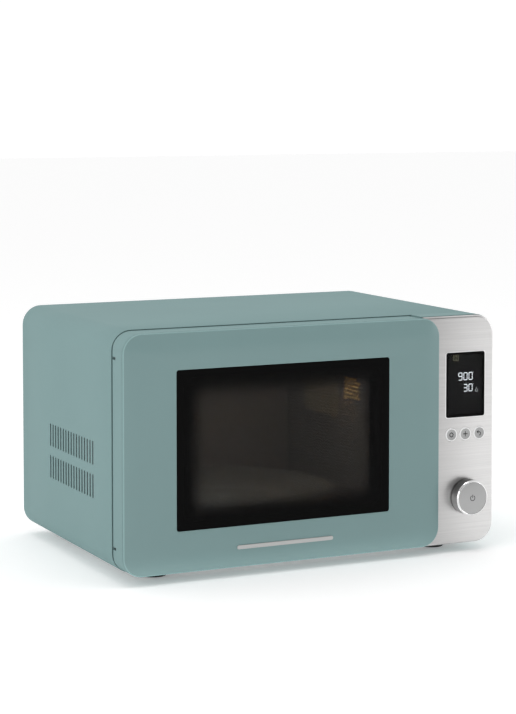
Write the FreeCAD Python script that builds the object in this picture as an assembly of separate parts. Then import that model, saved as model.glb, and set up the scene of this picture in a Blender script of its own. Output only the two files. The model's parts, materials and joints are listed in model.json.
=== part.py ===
import FreeCAD, Part
import math
import os

V = FreeCAD.Vector
os.makedirs("parts", exist_ok=True)

# A countertop microwave oven. Millimetres, +X to the right, -Y to the front, +Z up.
# The origin is on the floor, under the middle of the whole object's box.

# ---- driving dimensions ----
width = 490.0
height = 290.0
foot_height = 10.0
body_depth = 343.0          # door face to the casing's back edge
knob_proud = 8.0            # knob face in front of the door face
gland_proud = 9.0           # cord gland behind the casing's back edge
corner = 24.0               # the casing's corner radius, seen from the front
sheet = 1.0                 # casing sheet
thin_sheet = 0.8            # cavity sheet
wall = 2.5                  # moulded wall
gap = 0.3                   # least air between two moving bodies

left = -width / 2
bottom = foot_height
top = height
middle_z = (bottom + top) / 2
door_face = -(body_depth + gland_proud - knob_proud) / 2

# Depths are counted backwards from the door face, and sides from the casing's left face.
rim_depth = 5.0             # where the door cover's bowed face meets its edge
cover_back = 7.6
frame_front = 8.0
fascia_front = 8.1
frame_back = 37.5
seam_depth = 39.1
plate_front = 39.6

door_left = 0.6
door_right = 411.3
door_frame_right = 389.6
door_inset = 1.2            # door edge inside the casing's outline, top and bottom
door_corner = 23.0
housing_left = 391.0

window_left, window_right = 64.3, 340.2
window_low, window_high = 60.3, 245.6

choke_left, choke_right = 26.0, 384.0
choke_low, choke_high = 28.0, 272.0
screen_left, screen_right = 52.0, 356.0
screen_low, screen_high = 54.0, 248.0

cavity_left, cavity_right = 42.0, 367.0
cavity_low, cavity_high = 46.0, 254.0
cavity_back = 328.0
cavity_corner = 10.0

pivot_side, pivot_depth = 6.6, 31.5
swing_radius = 7.3           # the door's left rear edge, about the hinge axis
pin_radius = 2.0
eye_radius = 3.3
hinge_sheet = 2.5
hinge_rise = 108.0          # hinge leaf above and below the middle of the door

latch_side = 376.0
latch_rise = 75.0
hook_reach = 58.0

table_side, table_depth = 204.5, 182.0
tray_radius = 135.0
tray_base = 60.3
roller_radius = 7.0
track_radius = 103.0
roller_width = 6.0

panel_middle = 449.8
display_width, display_low, display_high = 54.1, 165.8, 244.9
button_pitch, button_radius, button_z = 19.65, 7.9, 144.8
button_travel = 1.0
knob_side, knob_z, knob_radius = 451.5, 68.2, 21.5
knob_back = 6.8
board_front = 22.0

lamp_depth, lamp_z = 147.5, 188.0
guide_middle, guide_z = 230.0, 180.0
fan_side, fan_z, fan_radius = 432.0, 180.0, 44.0


def x_at(side):
    return left + side


def y_at(depth):
    return door_face + depth


def at(side, depth, z):
    return V(x_at(side), y_at(depth), z)


# ---- shapes ----
def block(side0, side1, depth0, depth1, z0, z1):
    return Part.makeBox(side1 - side0, depth1 - depth0, z1 - z0, at(side0, depth0, z0))


def rod(radius, side, depth, z, length, along):
    return Part.makeCylinder(radius, length, at(side, depth, z), along)


BACK, UP, RIGHT = V(0, 1, 0), V(0, 0, 1), V(1, 0, 0)


def outline(a0, a1, b0, b1, radii, place):
    """A closed wire: a rectangle whose four corners (low-low, high-low, high-high, low-high) are rounded."""
    corners = [(a0, b0, 180), (a1, b0, 270), (a1, b1, 0), (a0, b1, 90)]
    edges, last, first = [], None, None
    for (a, b, turn), r in zip(corners, radii):
        ca = a + r if a == a0 else a - r
        cb = b + r if b == b0 else b - r
        spots = [place(ca + r * math.cos(math.radians(turn + t)), cb + r * math.sin(math.radians(turn + t)))
                 for t in (0, 45, 90)]
        if last is not None and last.distanceToPoint(spots[0]) > 1e-6:
            edges.append(Part.LineSegment(last, spots[0]).toShape())
        if r > 0:
            edges.append(Part.Arc(*spots).toShape())
        first = first or spots[0]
        last = spots[2]
    if last.distanceToPoint(first) > 1e-6:
        edges.append(Part.LineSegment(last, first).toShape())
    return Part.Wire(edges)


def four(r):
    return (r, r, r, r)


def front_wire(side0, side1, z0, z1, radii, depth):
    return outline(side0, side1, z0, z1, radii, lambda a, b: at(a, depth, b))


def plate(side0, side1, z0, z1, r, depth0, depth1):
    """A plate facing the front, with rounded corners, between two depths."""
    radii = r if isinstance(r, tuple) else four(r)
    face = Part.Face(front_wire(side0, side1, z0, z1, radii, depth0))
    return face.extrude(V(0, depth1 - depth0, 0))


def slab(side0, side1, depth0, depth1, r, z0, z1):
    """A level plate with rounded corners between two heights."""
    wire = outline(side0, side1, depth0, depth1, four(r), lambda a, b: at(a, b, z0))
    return Part.Face(wire).extrude(V(0, 0, z1 - z0))


def side_plate(depth0, depth1, z0, z1, r, side0, side1):
    """A plate facing sideways with rounded corners."""
    wire = outline(depth0, depth1, z0, z1, four(r), lambda a, b: at(side0, a, b))
    return Part.Face(wire).extrude(V(side1 - side0, 0, 0))


def ring_wall(side0, side1, z0, z1, r, thickness, depth0, depth1):
    """A straight-walled frame seen from the front: an outline with its inside taken out."""
    radii = r if isinstance(r, tuple) else four(r)
    inner = tuple(max(0.0, k - thickness) for k in radii)
    outer = plate(side0, side1, z0, z1, radii, depth0, depth1)
    hole = plate(side0 + thickness, side1 - thickness, z0 + thickness, z1 - thickness, inner, depth0 - 1, depth1 + 1)
    return outer.cut(hole)


def fuse(first, *rest):
    return first.multiFuse(list(rest)).removeSplitter() if rest else first


def save(name, shape):
    if not shape.isValid():
        raise ValueError(name + " isn't a valid solid")
    shape.exportStep("parts/" + name + ".step")
    print(name, len(shape.Solids), round(shape.Volume / 1000, 2))


# ---- casing ----
vent_width = 3.8
vent_pitch = 8.96
vent_rows = ((126.7, 154.9), (87.3, 115.7))


def vent(depth, z0, z1, side0, side1):
    return side_plate(depth - vent_width / 2, depth + vent_width / 2, z0, z1, vent_width / 2 - 0.01, side0, side1)


def outer_casing():
    """One sheet wrapped round the sides and top, with its lower edges turned in."""
    flange_edge = 215.0
    shell = ring_wall(0, width, bottom, top, corner, sheet, seam_depth, body_depth)
    mouth = block(width / 2 - flange_edge, width / 2 + flange_edge, seam_depth - 1, body_depth + 1, bottom - 1, bottom + 3)
    left_vents = [vent(98.5 + i * vent_pitch, z0, z1, -1, 2) for i in range(17) for z0, z1 in vent_rows]
    right_vents = [vent(232.0 + i * vent_pitch, z0, z1, width - 2, width + 1) for i in range(8) for z0, z1 in vent_rows]
    return shell.cut(mouth).cut(Part.makeCompound(left_vents + right_vents))


gland_side, gland_z = 452.0, 48.0
rear_screws = [(18, 40), (18, 150), (18, 262), (472, 262), (472, 120), (245, 278), (130, 278), (360, 278)]


def rear_panel():
    inset = sheet + gap
    back = plate(inset, width - inset, bottom + inset, top - inset, corner - inset, body_depth - 1.8, body_depth - 0.8)
    holes = [rod(1.6, side, body_depth - 5, z, 8, BACK) for side, z in rear_screws]
    holes.append(rod(6.2, gland_side, body_depth - 5, gland_z, 8, BACK))
    intake = [plate(fan_side - 40, fan_side + 40, fan_z - 38 + i * 9.5, fan_z - 34 + i * 9.5, 1.9,
                    body_depth - 4, body_depth + 2) for i in range(9)]
    exhaust = [plate(70 + i * 12, 74 + i * 12, 214, 246, 1.9, body_depth - 4, body_depth + 2) for i in range(16)]
    return back.cut(Part.makeCompound(holes + intake + exhaust))


def screw(radius, head_radius, length, side, depth, z, along):
    """A pan-head screw: the head's underside is at the point, and the shank runs against `along`."""
    point = at(side, depth, z)
    head = Part.makeCylinder(head_radius, 1.6, point, along)
    head = head.makeFillet(0.5, [e for e in head.Edges if abs((e.CenterOfMass - point).dot(along) - 1.6) < 0.01])
    slot_width = head_radius * 0.28
    across = V(1, 0, 0) if abs(along.x) < 0.5 else V(0, 1, 0)
    third = along.cross(across)
    cross = []
    for a, b in ((across, third), (third, across)):
        base = point + along * 0.9 - a * head_radius * 0.6 - b * slot_width / 2
        wire = Part.makePolygon([base, base + a * head_radius * 1.2, base + a * head_radius * 1.2 + b * slot_width,
                                 base + b * slot_width, base])
        cross.append(Part.Face(wire).extrude(along * 2))
    shank = Part.makeCylinder(radius, length, point - along * length, along)
    return head.cut(Part.makeCompound(cross)).fuse(shank)


def casing_screws():
    return Part.makeCompound([screw(1.5, 3.6, 5.0, side, body_depth - 0.8, z, BACK) for side, z in rear_screws])


foot_places = [(59.0, 57.0), (431.0, 57.0), (59.0, 300.0), (431.0, 300.0)]
foot_radius = 17.0


def base_plate():
    base = slab(24.2, width - 24.2, plate_front + 1.2, body_depth - 2.1, 4, bottom + 1, bottom + 2)
    holes = [rod(1.8, side, depth, bottom - 2, 8, UP) for side, depth in foot_places]
    under = [slab(400, 460, 96 + i * 9, 100 + i * 9, 1.9, bottom, bottom + 4) for i in range(6)]
    ribs = [slab(70, 360, depth, depth + 8, 2, bottom + 2, bottom + 5) for depth in (110, 250)]
    return fuse(base.cut(Part.makeCompound(holes + under)), *ribs)


def feet():
    pads = []
    for side, depth in foot_places:
        pad = Part.makeCone(foot_radius - 2.5, foot_radius, bottom + 1, at(side, depth, 0), UP)
        hollow = rod(5.0, side, depth, 0, 5.0, UP)
        pads.append(pad.cut(hollow).cut(rod(1.75, side, depth, 0, bottom + 2, UP)))
    return Part.makeCompound(pads)


def foot_screws():
    down = V(0, 0, -1)
    return Part.makeCompound([screw(1.7, 3.8, 8.5, side, depth, 5.0, down) for side, depth in foot_places])


def cord_gland():
    """A flanged bush in the rear panel, bored for a mains lead."""
    plane = body_depth - 0.8
    flange = rod(9.5, gland_side, plane, gland_z, 2.0, BACK)
    neck = rod(6.0, gland_side, plane - 8, gland_z, 8.0, BACK)
    clip = rod(7.6, gland_side, plane - 4.6, gland_z, 3.2, BACK)
    cone = Part.makeCone(7.5, 5.6, gland_proud - 1.2, at(gland_side, plane + 2.0, gland_z), BACK)
    bore = rod(3.6, gland_side, plane - 10, gland_z, 30, BACK)
    return fuse(flange, neck, clip, cone).cut(bore)


# ---- fixed front and cavity ----
def latch_slot(z):
    return plate(latch_side - 4.5, latch_side + 5.5, z - 10, z + 12, 1.0, plate_front - 2, plate_front + 4)


def front_plate():
    inset = sheet + gap
    face = plate(inset, width - inset, bottom + inset, top - inset, corner - inset, plate_front, plate_front + sheet)
    mouth = plate(cavity_left, cavity_right, cavity_low, cavity_high, cavity_corner, plate_front - 1, plate_front + 3)
    slots = [latch_slot(middle_z + k * latch_rise) for k in (-1, 1)]
    electrics = plate(402, 480, 60, 240, 6, plate_front - 1, plate_front + 3)
    return face.cut(Part.makeCompound([mouth, electrics] + slots))


def hole_field(columns, rows, pitch, radius, depth, z, side0, length):
    """A staggered field of round holes through a side wall, centred on a depth and a height."""
    holes = []
    for row in range(rows):
        shift = (row % 2) * pitch / 2
        for column in range(columns):
            d = depth + (column - (columns - 1) / 2) * pitch + shift - pitch / 4
            h = z + (row - (rows - 1) / 2) * pitch * 0.9
            holes.append(rod(radius, side0, d, h, length, RIGHT))
    return holes


def cavity_liner():
    """The cooking space: a welded sheet box, open to the front."""
    t = thin_sheet
    start = plate_front + sheet
    outer = plate(cavity_left - t, cavity_right + t, cavity_low - t, cavity_high + t, cavity_corner + t, start, cavity_back + t)
    inner = plate(cavity_left, cavity_right, cavity_low, cavity_high, cavity_corner, start - 1, cavity_back)
    liner = outer.cut(inner)
    lamp_holes = hole_field(8, 6, 5.2, 1.7, lamp_depth, lamp_z, cavity_right - 2, 6)
    vent_holes = hole_field(16, 4, 6.0, 1.8, 250.0, 226.0, cavity_left - 4, 6)
    window = side_plate(guide_middle - 40, guide_middle + 40, guide_z - 28, guide_z + 28, 4, cavity_right - 2, cavity_right + 4)
    shaft_hole = rod(5.5, table_side, table_depth, cavity_low - 4, 6, UP)
    return liner.cut(Part.makeCompound(lamp_holes + vent_holes + [window, shaft_hole]))


def mica_cover():
    return side_plate(guide_middle - 47, guide_middle + 47, guide_z - 35, guide_z + 35, 4, cavity_right - 0.6, cavity_right)


guide_out = 394.0


def waveguide():
    """A sheet duct from the magnetron to the cavity wall."""
    inside = cavity_right + thin_sheet
    shell = block(inside, guide_out, guide_middle - 43, guide_middle + 43, guide_z - 31, guide_z + 31)
    hollow = block(inside - 1, guide_out - 1.2, guide_middle - 41.8, guide_middle + 41.8, guide_z - 29.8, guide_z + 29.8)
    mouth = rod(11.0, guide_out - 4, guide_middle, guide_z, 8, RIGHT)
    return shell.cut(hollow).cut(mouth)


def magnetron_body():
    """A yoke frame round a finned anode."""
    s0, s1 = guide_out + 0.2, guide_out + 74.0
    yoke = block(s0, s1, guide_middle - 40, guide_middle + 40, guide_z - 33, guide_z + 33)
    room = block(s0 + 2, s1 - 2, guide_middle - 50, guide_middle + 50, guide_z - 31, guide_z + 31)
    anode = rod(19.0, s0 + 1, guide_middle, guide_z, s1 - s0 - 2, RIGHT)
    fins = [block(s0 + 14 + i * 8, s0 + 15.2 + i * 8, guide_middle - 37, guide_middle + 37, guide_z - 32, guide_z + 32)
            for i in range(6)]
    filter_box = block(s1 - 1, s1 + 15, guide_middle - 22, guide_middle + 30, guide_z - 24, guide_z + 24)
    return fuse(yoke.cut(room), anode, filter_box, *fins)


def magnetron_antenna():
    stem = rod(8.0, guide_out - 17, guide_middle, guide_z, 17.2, RIGHT)
    gasket = rod(10.4, guide_out - 0.8, guide_middle, guide_z, 1.0, RIGHT)
    return fuse(stem, gasket)


def cavity_lamp():
    middle, bulb, neck, length = 381.0, 8.0, 5.5, 17.0
    meet = math.sqrt(bulb ** 2 - neck ** 2)
    spots = [at(middle - bulb, lamp_depth, lamp_z), at(middle, lamp_depth, lamp_z + bulb),
             at(middle + meet, lamp_depth, lamp_z + neck), at(middle + length, lamp_depth, lamp_z + neck),
             at(middle + length, lamp_depth, lamp_z)]
    edges = [Part.Arc(*spots[:3]).toShape()]
    edges += [Part.LineSegment(a, b).toShape() for a, b in zip(spots[2:], spots[3:] + spots[:1])]
    return Part.Face(Part.Wire(edges)).revolve(spots[0], RIGHT, 360)


def lamp_holder():
    """A sheet cup over the lamp holes, with the lamp's socket."""
    inside = cavity_right + thin_sheet
    cup = block(inside, 394.0, lamp_depth - 26, lamp_depth + 26, lamp_z - 20, lamp_z + 20)
    room = block(inside - 1, 393.0, lamp_depth - 25, lamp_depth + 25, lamp_z - 19, lamp_z + 19)
    socket = rod(8.5, 390.0, lamp_depth, lamp_z, 16.0, RIGHT)
    return fuse(cup.cut(room), socket).cut(rod(5.5, 380.0, lamp_depth, lamp_z, 18.0, RIGHT))


def transformer_core():
    base = bottom + 2
    core = block(386, 458, 206, 262, base, base + 66)
    windows = [block(380, 470, 216, 224, base + 14, base + 52), block(380, 470, 244, 252, base + 14, base + 52)]
    foot = slab(377, 465, 204, 264, 2, base, base + 2)
    return fuse(core.cut(Part.makeCompound(windows)), foot)


def transformer_windings():
    base = bottom + 2
    outer = block(376, 468, 216.2, 251.8, base + 14.2, base + 51.8)
    hole = block(385.8, 458.2, 223.8, 244.2, base, base + 70)
    return outer.cut(hole)


def capacitor():
    """A flat oval can lying on the base, with two tags."""
    wire = outline(384, 436, bottom + 3, bottom + 37, four(16.9), lambda a, b: at(a, 92, b))
    can = Part.Face(wire).extrude(V(0, 86, 0))
    tags = [block(side, side + 0.8, 80, 92.5, bottom + 16, bottom + 24) for side in (398, 421)]
    strap = ring_wall(383, 437, bottom + 2, bottom + 38, 17.9, 1.5, 128, 142)
    return fuse(can, strap, *tags)


def fan_housing():
    """A moulded plate with a round duct, standing between the fan and the rear panel."""
    wall_plate = plate(fan_side - 52, fan_side + 52, fan_z - 52, fan_z + 52, 4, 318, 320.5)
    duct = rod(fan_radius + 4.5, fan_side, 305, fan_z, 15.5, BACK)
    bore = rod(fan_radius + 2.0, fan_side, 300, fan_z, 30, BACK)
    arms = [block(fan_side - 50, fan_side + 50, 320.5, 323.5, fan_z + k - 3, fan_z + k + 3) for k in (-16, 16)]
    seat = rod(15.0, fan_side, 320.5, fan_z, 3.0, BACK)
    return fuse(fuse(wall_plate, duct).cut(bore), seat, *arms).cut(rod(3.2, fan_side, 318, fan_z, 8, BACK))


def fan_motor():
    """A shaded-pole motor: laminated core, coil and two end brackets."""
    core = block(fan_side - 22, fan_side + 22, 323.6, 335.0, fan_z - 16, fan_z + 26)
    coil = block(fan_side - 13, fan_side + 13, 325.0, 336.5, fan_z - 30, fan_z - 16)
    bearing = rod(6.0, fan_side, 335.0, fan_z, 2.5, BACK)
    return fuse(core, coil, bearing).cut(rod(2.05, fan_side, 320, fan_z, 12, BACK))


def fan_blade():
    """Five pitched blades round a hub on the motor's shaft."""
    hub = rod(13.0, fan_side, 307.0, fan_z, 11.0, BACK)
    pitch = 30.0
    blades = []
    for i in range(5):
        blade = Part.makeBox(fan_radius - 11, 1.6, 24, at(fan_side + 11, 311.5, fan_z - 12))
        blade.rotate(at(fan_side, 312.3, fan_z), RIGHT, 90 - pitch)
        blade.rotate(at(fan_side, 312.3, fan_z), BACK, i * 72)
        blades.append(blade)
    zone = rod(fan_radius, fan_side, 306.0, fan_z, 13.0, BACK)
    shaft = rod(2.0, fan_side, 312.0, fan_z, 19.0, BACK)
    return fuse(hub, shaft, *[b.common(zone) for b in blades])


def thermal_cutouts():
    """Two snap discs: one on the cavity's side, one on its roof."""
    out = cavity_right + thin_sheet
    on_side = fuse(rod(8.0, out, 110, 110, 6, RIGHT), block(out, out + 1.0, 98, 122, 105, 115),
                   block(out + 6, out + 14, 105, 105.8, 107, 113), block(out + 6, out + 14, 114.2, 115, 107, 113))
    roof = cavity_high + thin_sheet
    on_roof = fuse(Part.makeCylinder(8.0, 6, at(300, 200, roof)), block(288, 312, 195, 205, roof, roof + 1),
                   block(295, 295.8, 197, 203, roof + 6, roof + 14), block(304.2, 305, 197, 203, roof + 6, roof + 14))
    return Part.makeCompound([on_side, on_roof])


def filter_board():
    """The mains filter: a small board with a fuse, a coil and a capacitor."""
    board = block(398, 436, 268, 338, 92, 93.6)
    coil = Part.makeCylinder(12, 14, at(416, 288, 93.6)).cut(Part.makeCylinder(5, 16, at(416, 288, 92)))
    coil = coil.fuse(Part.makeCylinder(5, 14, at(416, 288, 93.6)))
    can = block(402, 430, 308, 320, 93.6, 110)
    fuse_tube = rod(3, 402, 330, 96.2, 28, RIGHT)
    legs = [block(side, side + 5, depth, depth + 5, bottom + 2, 92) for side in (399, 430) for depth in (269, 332)]
    return fuse(board, coil, can, fuse_tube, *legs)


def latch_base():
    """A moulded bracket behind the front plate, with a tunnel for each hook."""
    back = plate_front + sheet
    body = block(369.5, 388, back, back + 26, middle_z - latch_rise - 20, middle_z + latch_rise + 22)
    tunnels = [block(latch_side - 4.6, latch_side + 5.6, back - 1, back + 30, middle_z + k * latch_rise - 11,
                     middle_z + k * latch_rise + 13) for k in (-1, 1)]
    relief = block(368, 380, back + 2, back + 30, middle_z - latch_rise + 18, middle_z + latch_rise - 16)
    return body.cut(Part.makeCompound(tunnels + [relief]))


def door_switches():
    """Three snap switches clipped to the latch bracket."""
    back = plate_front + sheet
    switches = []
    for z in (middle_z - latch_rise - 10, middle_z + latch_rise - 16, middle_z + latch_rise + 2):
        case = block(388.2, 398.2, back + 6, back + 33, z, z + 16)
        terminals = [block(398.2, 406, back + 9 + i * 9, back + 9.8 + i * 9, z + 5, z + 11) for i in range(3)]
        switches.append(fuse(case, *terminals))
    return Part.makeCompound(switches)


# ---- turntable ----
def turntable_motor():
    case = Part.makeCylinder(24.5, 19, at(table_side, table_depth, cavity_low - thin_sheet - 19.5))
    ears = slab(table_side - 35, table_side + 35, table_depth - 5, table_depth + 5, 5,
                cavity_low - thin_sheet - 1.8, cavity_low - thin_sheet - 0.5)
    socket = slab(table_side - 8, table_side + 8, table_depth + 20, table_depth + 32, 1,
                  cavity_low - thin_sheet - 17, cavity_low - thin_sheet - 5)
    bore = Part.makeCylinder(3.3, 15, at(table_side, table_depth, cavity_low - thin_sheet - 10))
    return fuse(case, ears, socket).cut(bore)


def turntable_shaft():
    shaft = Part.makeCylinder(3.0, 19, at(table_side, table_depth, cavity_low - 7))
    flat = block(table_side + 2.0, table_side + 5, table_depth - 4, table_depth + 4, cavity_low + 3, cavity_low + 14)
    return shaft.cut(flat)


def tray_coupler():
    """A three-lobed hub that drops over the shaft and turns the tray."""
    low, high = cavity_low + 4, tray_base
    hub = Part.makeCylinder(8.0, high - low, at(table_side, table_depth, low))
    lobes = []
    for i in range(3):
        lobe = Part.makeBox(14.5, 8, high - low, at(table_side, table_depth - 4, low))
        lobe.rotate(at(table_side, table_depth, 0), UP, i * 120)
        lobes.append(lobe)
    shaft = Part.makeCylinder(3.0, 9.0, at(table_side, table_depth, low - 1)).cut(
        block(table_side + 2.0, table_side + 5, table_depth - 4, table_depth + 4, cavity_low, cavity_low + 14))
    return fuse(hub, *lobes).cut(shaft)


def turntable_tray():
    """A glass dish: flat floor, a raised lip, and a ring of lugs underneath that the coupler drives."""
    thick = 4.0
    profile = [V(0, 0, 0), V(tray_radius - 14, 0, 0), V(tray_radius - 3, 0, 7.5), V(tray_radius, 0, 9.5),
               V(tray_radius, 0, 11.5), V(tray_radius - 4, 0, 11.0), V(tray_radius - 15, 0, thick), V(0, 0, thick), V(0, 0, 0)]
    dish = Part.Face(Part.makePolygon(profile)).revolve(V(0, 0, 0), UP, 360)
    dish.translate(at(table_side, table_depth, tray_base))
    lugs = []
    for i in range(3):
        lug = Part.makeCylinder(2.6, 4.6, at(table_side + 12.5, table_depth, tray_base - 4))
        lug.rotate(at(table_side, table_depth, 0), UP, 60 + i * 120)
        lugs.append(lug)
    return fuse(dish, *lugs)


def roller_ring():
    """A moulded ring round the coupler, with a stub axle for each roller."""
    axle_z = cavity_low + roller_radius
    z0, z1 = axle_z - 2.2, axle_z + 2.2
    centre = at(table_side, table_depth, z0)
    rim = Part.makeCylinder(96, z1 - z0, centre).cut(Part.makeCylinder(89, z1 - z0, centre))
    hub = Part.makeCylinder(23, z1 - z0, centre).cut(Part.makeCylinder(17, z1 - z0, centre))
    parts = []
    for i in range(3):
        spoke = block(table_side + 20, table_side + 91, table_depth - 3, table_depth + 3, z0, z1)
        axle = rod(2.0, table_side + 94, table_depth, axle_z, track_radius + roller_width / 2 - 93.4, RIGHT)
        cap = rod(2.9, table_side + track_radius + roller_width / 2 + 0.5, table_depth, axle_z, 1.2, RIGHT)
        arm = fuse(spoke, axle, cap)
        arm.rotate(at(table_side, table_depth, 0), UP, i * 120)
        parts.append(arm)
    return fuse(rim, hub, *parts)


def roller(turn):
    start = track_radius - roller_width / 2
    wheel = rod(roller_radius, table_side + start, table_depth, cavity_low + roller_radius, roller_width, RIGHT)
    rims = [e for e in wheel.Edges if isinstance(e.Curve, Part.Circle)]
    wheel = wheel.makeFillet(1.0, rims)
    bore = rod(2.06, table_side + start - 1, table_depth, cavity_low + roller_radius, roller_width + 2, RIGHT)
    groove = rod(5.6, table_side + start - 1, table_depth, cavity_low + roller_radius, 2.0, RIGHT)
    groove = groove.cut(rod(3.8, table_side + start - 2, table_depth, cavity_low + roller_radius, 4.0, RIGHT))
    wheel = wheel.cut(bore).cut(groove)
    wheel.rotate(at(table_side, table_depth, 0), UP, turn)
    return wheel


# ---- door ----
bow_width = 25.0


def bowed_face(side0, side1, z0, z1, r, depth_edge):
    """A plate whose front bows back towards its edges along a parabola."""
    wires = []
    for inset in (0.0, 5.0, 11.0, 18.0, bow_width):
        depth = depth_edge * (1 - inset / bow_width) ** 2
        radius = max(r - inset, 2.0) if inset else r
        wires.append(front_wire(side0 + inset, side1 - inset, z0 + inset, z1 - inset, four(radius), depth))
    return Part.makeLoft(wires, True, True)


def door_cover():
    """The coloured front moulding. It overlaps the control panel's left edge."""
    z0, z1 = bottom + door_inset, top - door_inset
    edge = plate(door_left, door_right, z0, z1, door_corner, rim_depth, cover_back)
    skin = bowed_face(door_left, door_right, z0, z1, door_corner, rim_depth)
    window = plate(window_left, window_right, window_low, window_high, 3.0, -5, 12)
    pockets = [plate(door_left + inset, door_right - inset, z0 + inset, z1 - inset, max(door_corner - inset, 2.0), depth, 12)
               for inset, depth in ((9.0, 5.4), (20.0, 3.4))]
    seat = plate(window_left - 6, window_right + 6, window_low - 6, window_high + 6, 5.0, 2.6, 12)
    kept = plate(window_left - 9, window_right + 9, window_low - 9, window_high + 9, 6.0, 0.5, cover_back)
    cover = fuse(fuse(skin, edge).cut(Part.makeCompound(pockets)), kept).cut(window).cut(seat)
    return cover.cut(trim_shape(0.0))


def door_glass():
    """Dark glass, flush in the window, with a wider back that rests in the cover's rebate."""
    pane = plate(window_left + 0.15, window_right - 0.15, window_low + 0.15, window_high - 0.15, 2.9, 0.2, 3.0)
    tray = plate(window_left - 5.7, window_right + 5.7, window_low - 5.7, window_high + 5.7, 4.7, 2.7, 4.4)
    return fuse(pane, tray)


def rounded_rear_edge():
    """What is taken off the door's left rear edge, so that it turns clear of the casing."""
    square = block(door_left - 1, pivot_side, pivot_depth, frame_back + 1, 0, height)
    return square.cut(Part.makeCylinder(swing_radius, height, at(pivot_side, pivot_depth, 0)))


def hinge_leaf_z(side):
    """Lowest and highest level of the fixed leaf of the upper (+1) or lower (-1) hinge."""
    ends = (middle_z + side * hinge_rise, middle_z + side * (hinge_rise + hinge_sheet))
    return min(ends), max(ends)


def leaf_room(side):
    z0, z1 = hinge_leaf_z(side)
    return block(door_left - 2, pivot_side + 5.0, pivot_depth - 4.6, frame_back + 2, z0 - 0.5, z1 + 0.5)


def door_frame():
    """The door's side walls, with a front flange that carries the cover."""
    z0, z1 = bottom + door_inset, top - door_inset
    radii = (door_corner, 3.0, 3.0, door_corner)
    walls = ring_wall(door_left, door_frame_right, z0, z1, radii, wall, frame_front, frame_back)
    flange = plate(door_left, door_frame_right, z0, z1, radii, frame_front, frame_front + 2)
    flange = flange.cut(plate(45, 363, 47, 253, 5, frame_front - 1, frame_front + 3))
    frame = fuse(walls, flange).cut(rounded_rear_edge())
    straight, foot = z1 - z0 - 2 * door_corner, at(pivot_side, pivot_depth, z0 + door_corner)
    curl = Part.makeCylinder(swing_radius, straight, foot).cut(Part.makeCylinder(swing_radius - 1.6, straight, foot))
    curl = curl.common(block(door_left, pivot_side, pivot_depth, frame_back, 0, height))
    return fuse(frame, curl).cut(Part.makeCompound([leaf_room(1), leaf_room(-1)]))


def choke_frame():
    """The pressed steel pan that stops leakage: a web, an outer wall and an inner fin."""
    web = plate(choke_left, choke_right, choke_low, choke_high, 8, 10.2, 11.2)
    web = web.cut(plate(screen_left, screen_right, screen_low, screen_high, 4, 9, 13))
    outer = ring_wall(choke_left, choke_right, choke_low, choke_high, 8, 1.0, 11.0, 34.6)
    fin = ring_wall(choke_left + 16, choke_right - 16, choke_low + 16, choke_high - 16, 6, 1.0, 11.0, 34.0)
    return fuse(web, outer, fin)


def door_screen():
    """The perforated sheet behind the window, drawn plain."""
    return plate(screen_left - 6, screen_right + 6, screen_low - 6, screen_high + 6, 4, 11.3, 11.8)


def inner_pane():
    return plate(screen_left - 7, screen_right + 7, screen_low - 7, screen_high + 7, 4, 12.0, 14.0)


def hook_slot(z):
    return plate(latch_side - 4, latch_side + 4, z - 8, z + 12, 1.0, 20, 45)


def choke_cover():
    """The dark plastic back of the door, which closes the choke and the frame."""
    z0, z1 = bottom + door_inset + wall + 0.3, top - door_inset - wall - 0.3
    radii = (door_corner - wall - 0.3, 2.0, 2.0, door_corner - wall - 0.3)
    back = plate(pivot_side + 2.5, door_frame_right - wall - 0.3, z0, z1, four(2.0), 35.0, 37.2)
    back = back.common(plate(door_left + wall + 0.3, door_frame_right - wall - 0.3, z0, z1, radii, 30, 40))
    lip = plate(choke_left + 17.6, choke_right - 17.6, choke_low + 17.6, choke_high - 17.6, 5, 14.2, 37.0)
    mouth = plate(choke_left + 19.6, choke_right - 19.6, choke_low + 19.6, choke_high - 19.6, 4, 10, 40)
    slots = [hook_slot(middle_z + k * latch_rise) for k in (-1, 1)]
    return fuse(back, lip).cut(mouth).cut(Part.makeCompound(slots + [leaf_room(1), leaf_room(-1)]))


def hinge_arm(side):
    """A door hinge strap: from the choke pan to an eye round the pin."""
    z0, z1 = hinge_leaf_z(side)
    step = hinge_sheet + 0.8
    low = z0 - side * step
    strap = block(pivot_side, choke_left, pivot_depth - eye_radius, pivot_depth + eye_radius, low, low + hinge_sheet)
    eye = Part.makeCylinder(eye_radius, hinge_sheet, at(pivot_side, pivot_depth, low))
    tab = block(choke_left - 1.6, choke_left, 12.5, 34.5, low - 12 if side > 0 else low, low + hinge_sheet if side > 0 else low + 14.5)
    return fuse(strap, eye, tab).cut(Part.makeCylinder(pin_radius, 40, at(pivot_side, pivot_depth, low - 20)))


def hinge_bracket(side):
    """The oven's hinge leaf: a level eye on a tab that is screwed to the front plate."""
    z0, z1 = hinge_leaf_z(side)
    leaf = block(pivot_side - eye_radius, pivot_side + eye_radius, pivot_depth, plate_front, z0, z1)
    eye = Part.makeCylinder(eye_radius, hinge_sheet, at(pivot_side, pivot_depth, z0))
    tab_far, tab_side = 12.0, pivot_side + 13
    foot = block(pivot_side, tab_side, plate_front - 1.5, plate_front, z0, z1)
    tab = block(pivot_side + 4.0, tab_side, plate_front - 1.5, plate_front,
                z0 if side > 0 else z1 - tab_far, z0 + tab_far if side > 0 else z1)
    bore = Part.makeCylinder(pin_radius + 0.05, 40, at(pivot_side, pivot_depth, z0 - 20))
    return fuse(leaf, eye, foot, tab).cut(bore)


def both(make):
    return Part.makeCompound([make(1), make(-1)])


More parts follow.
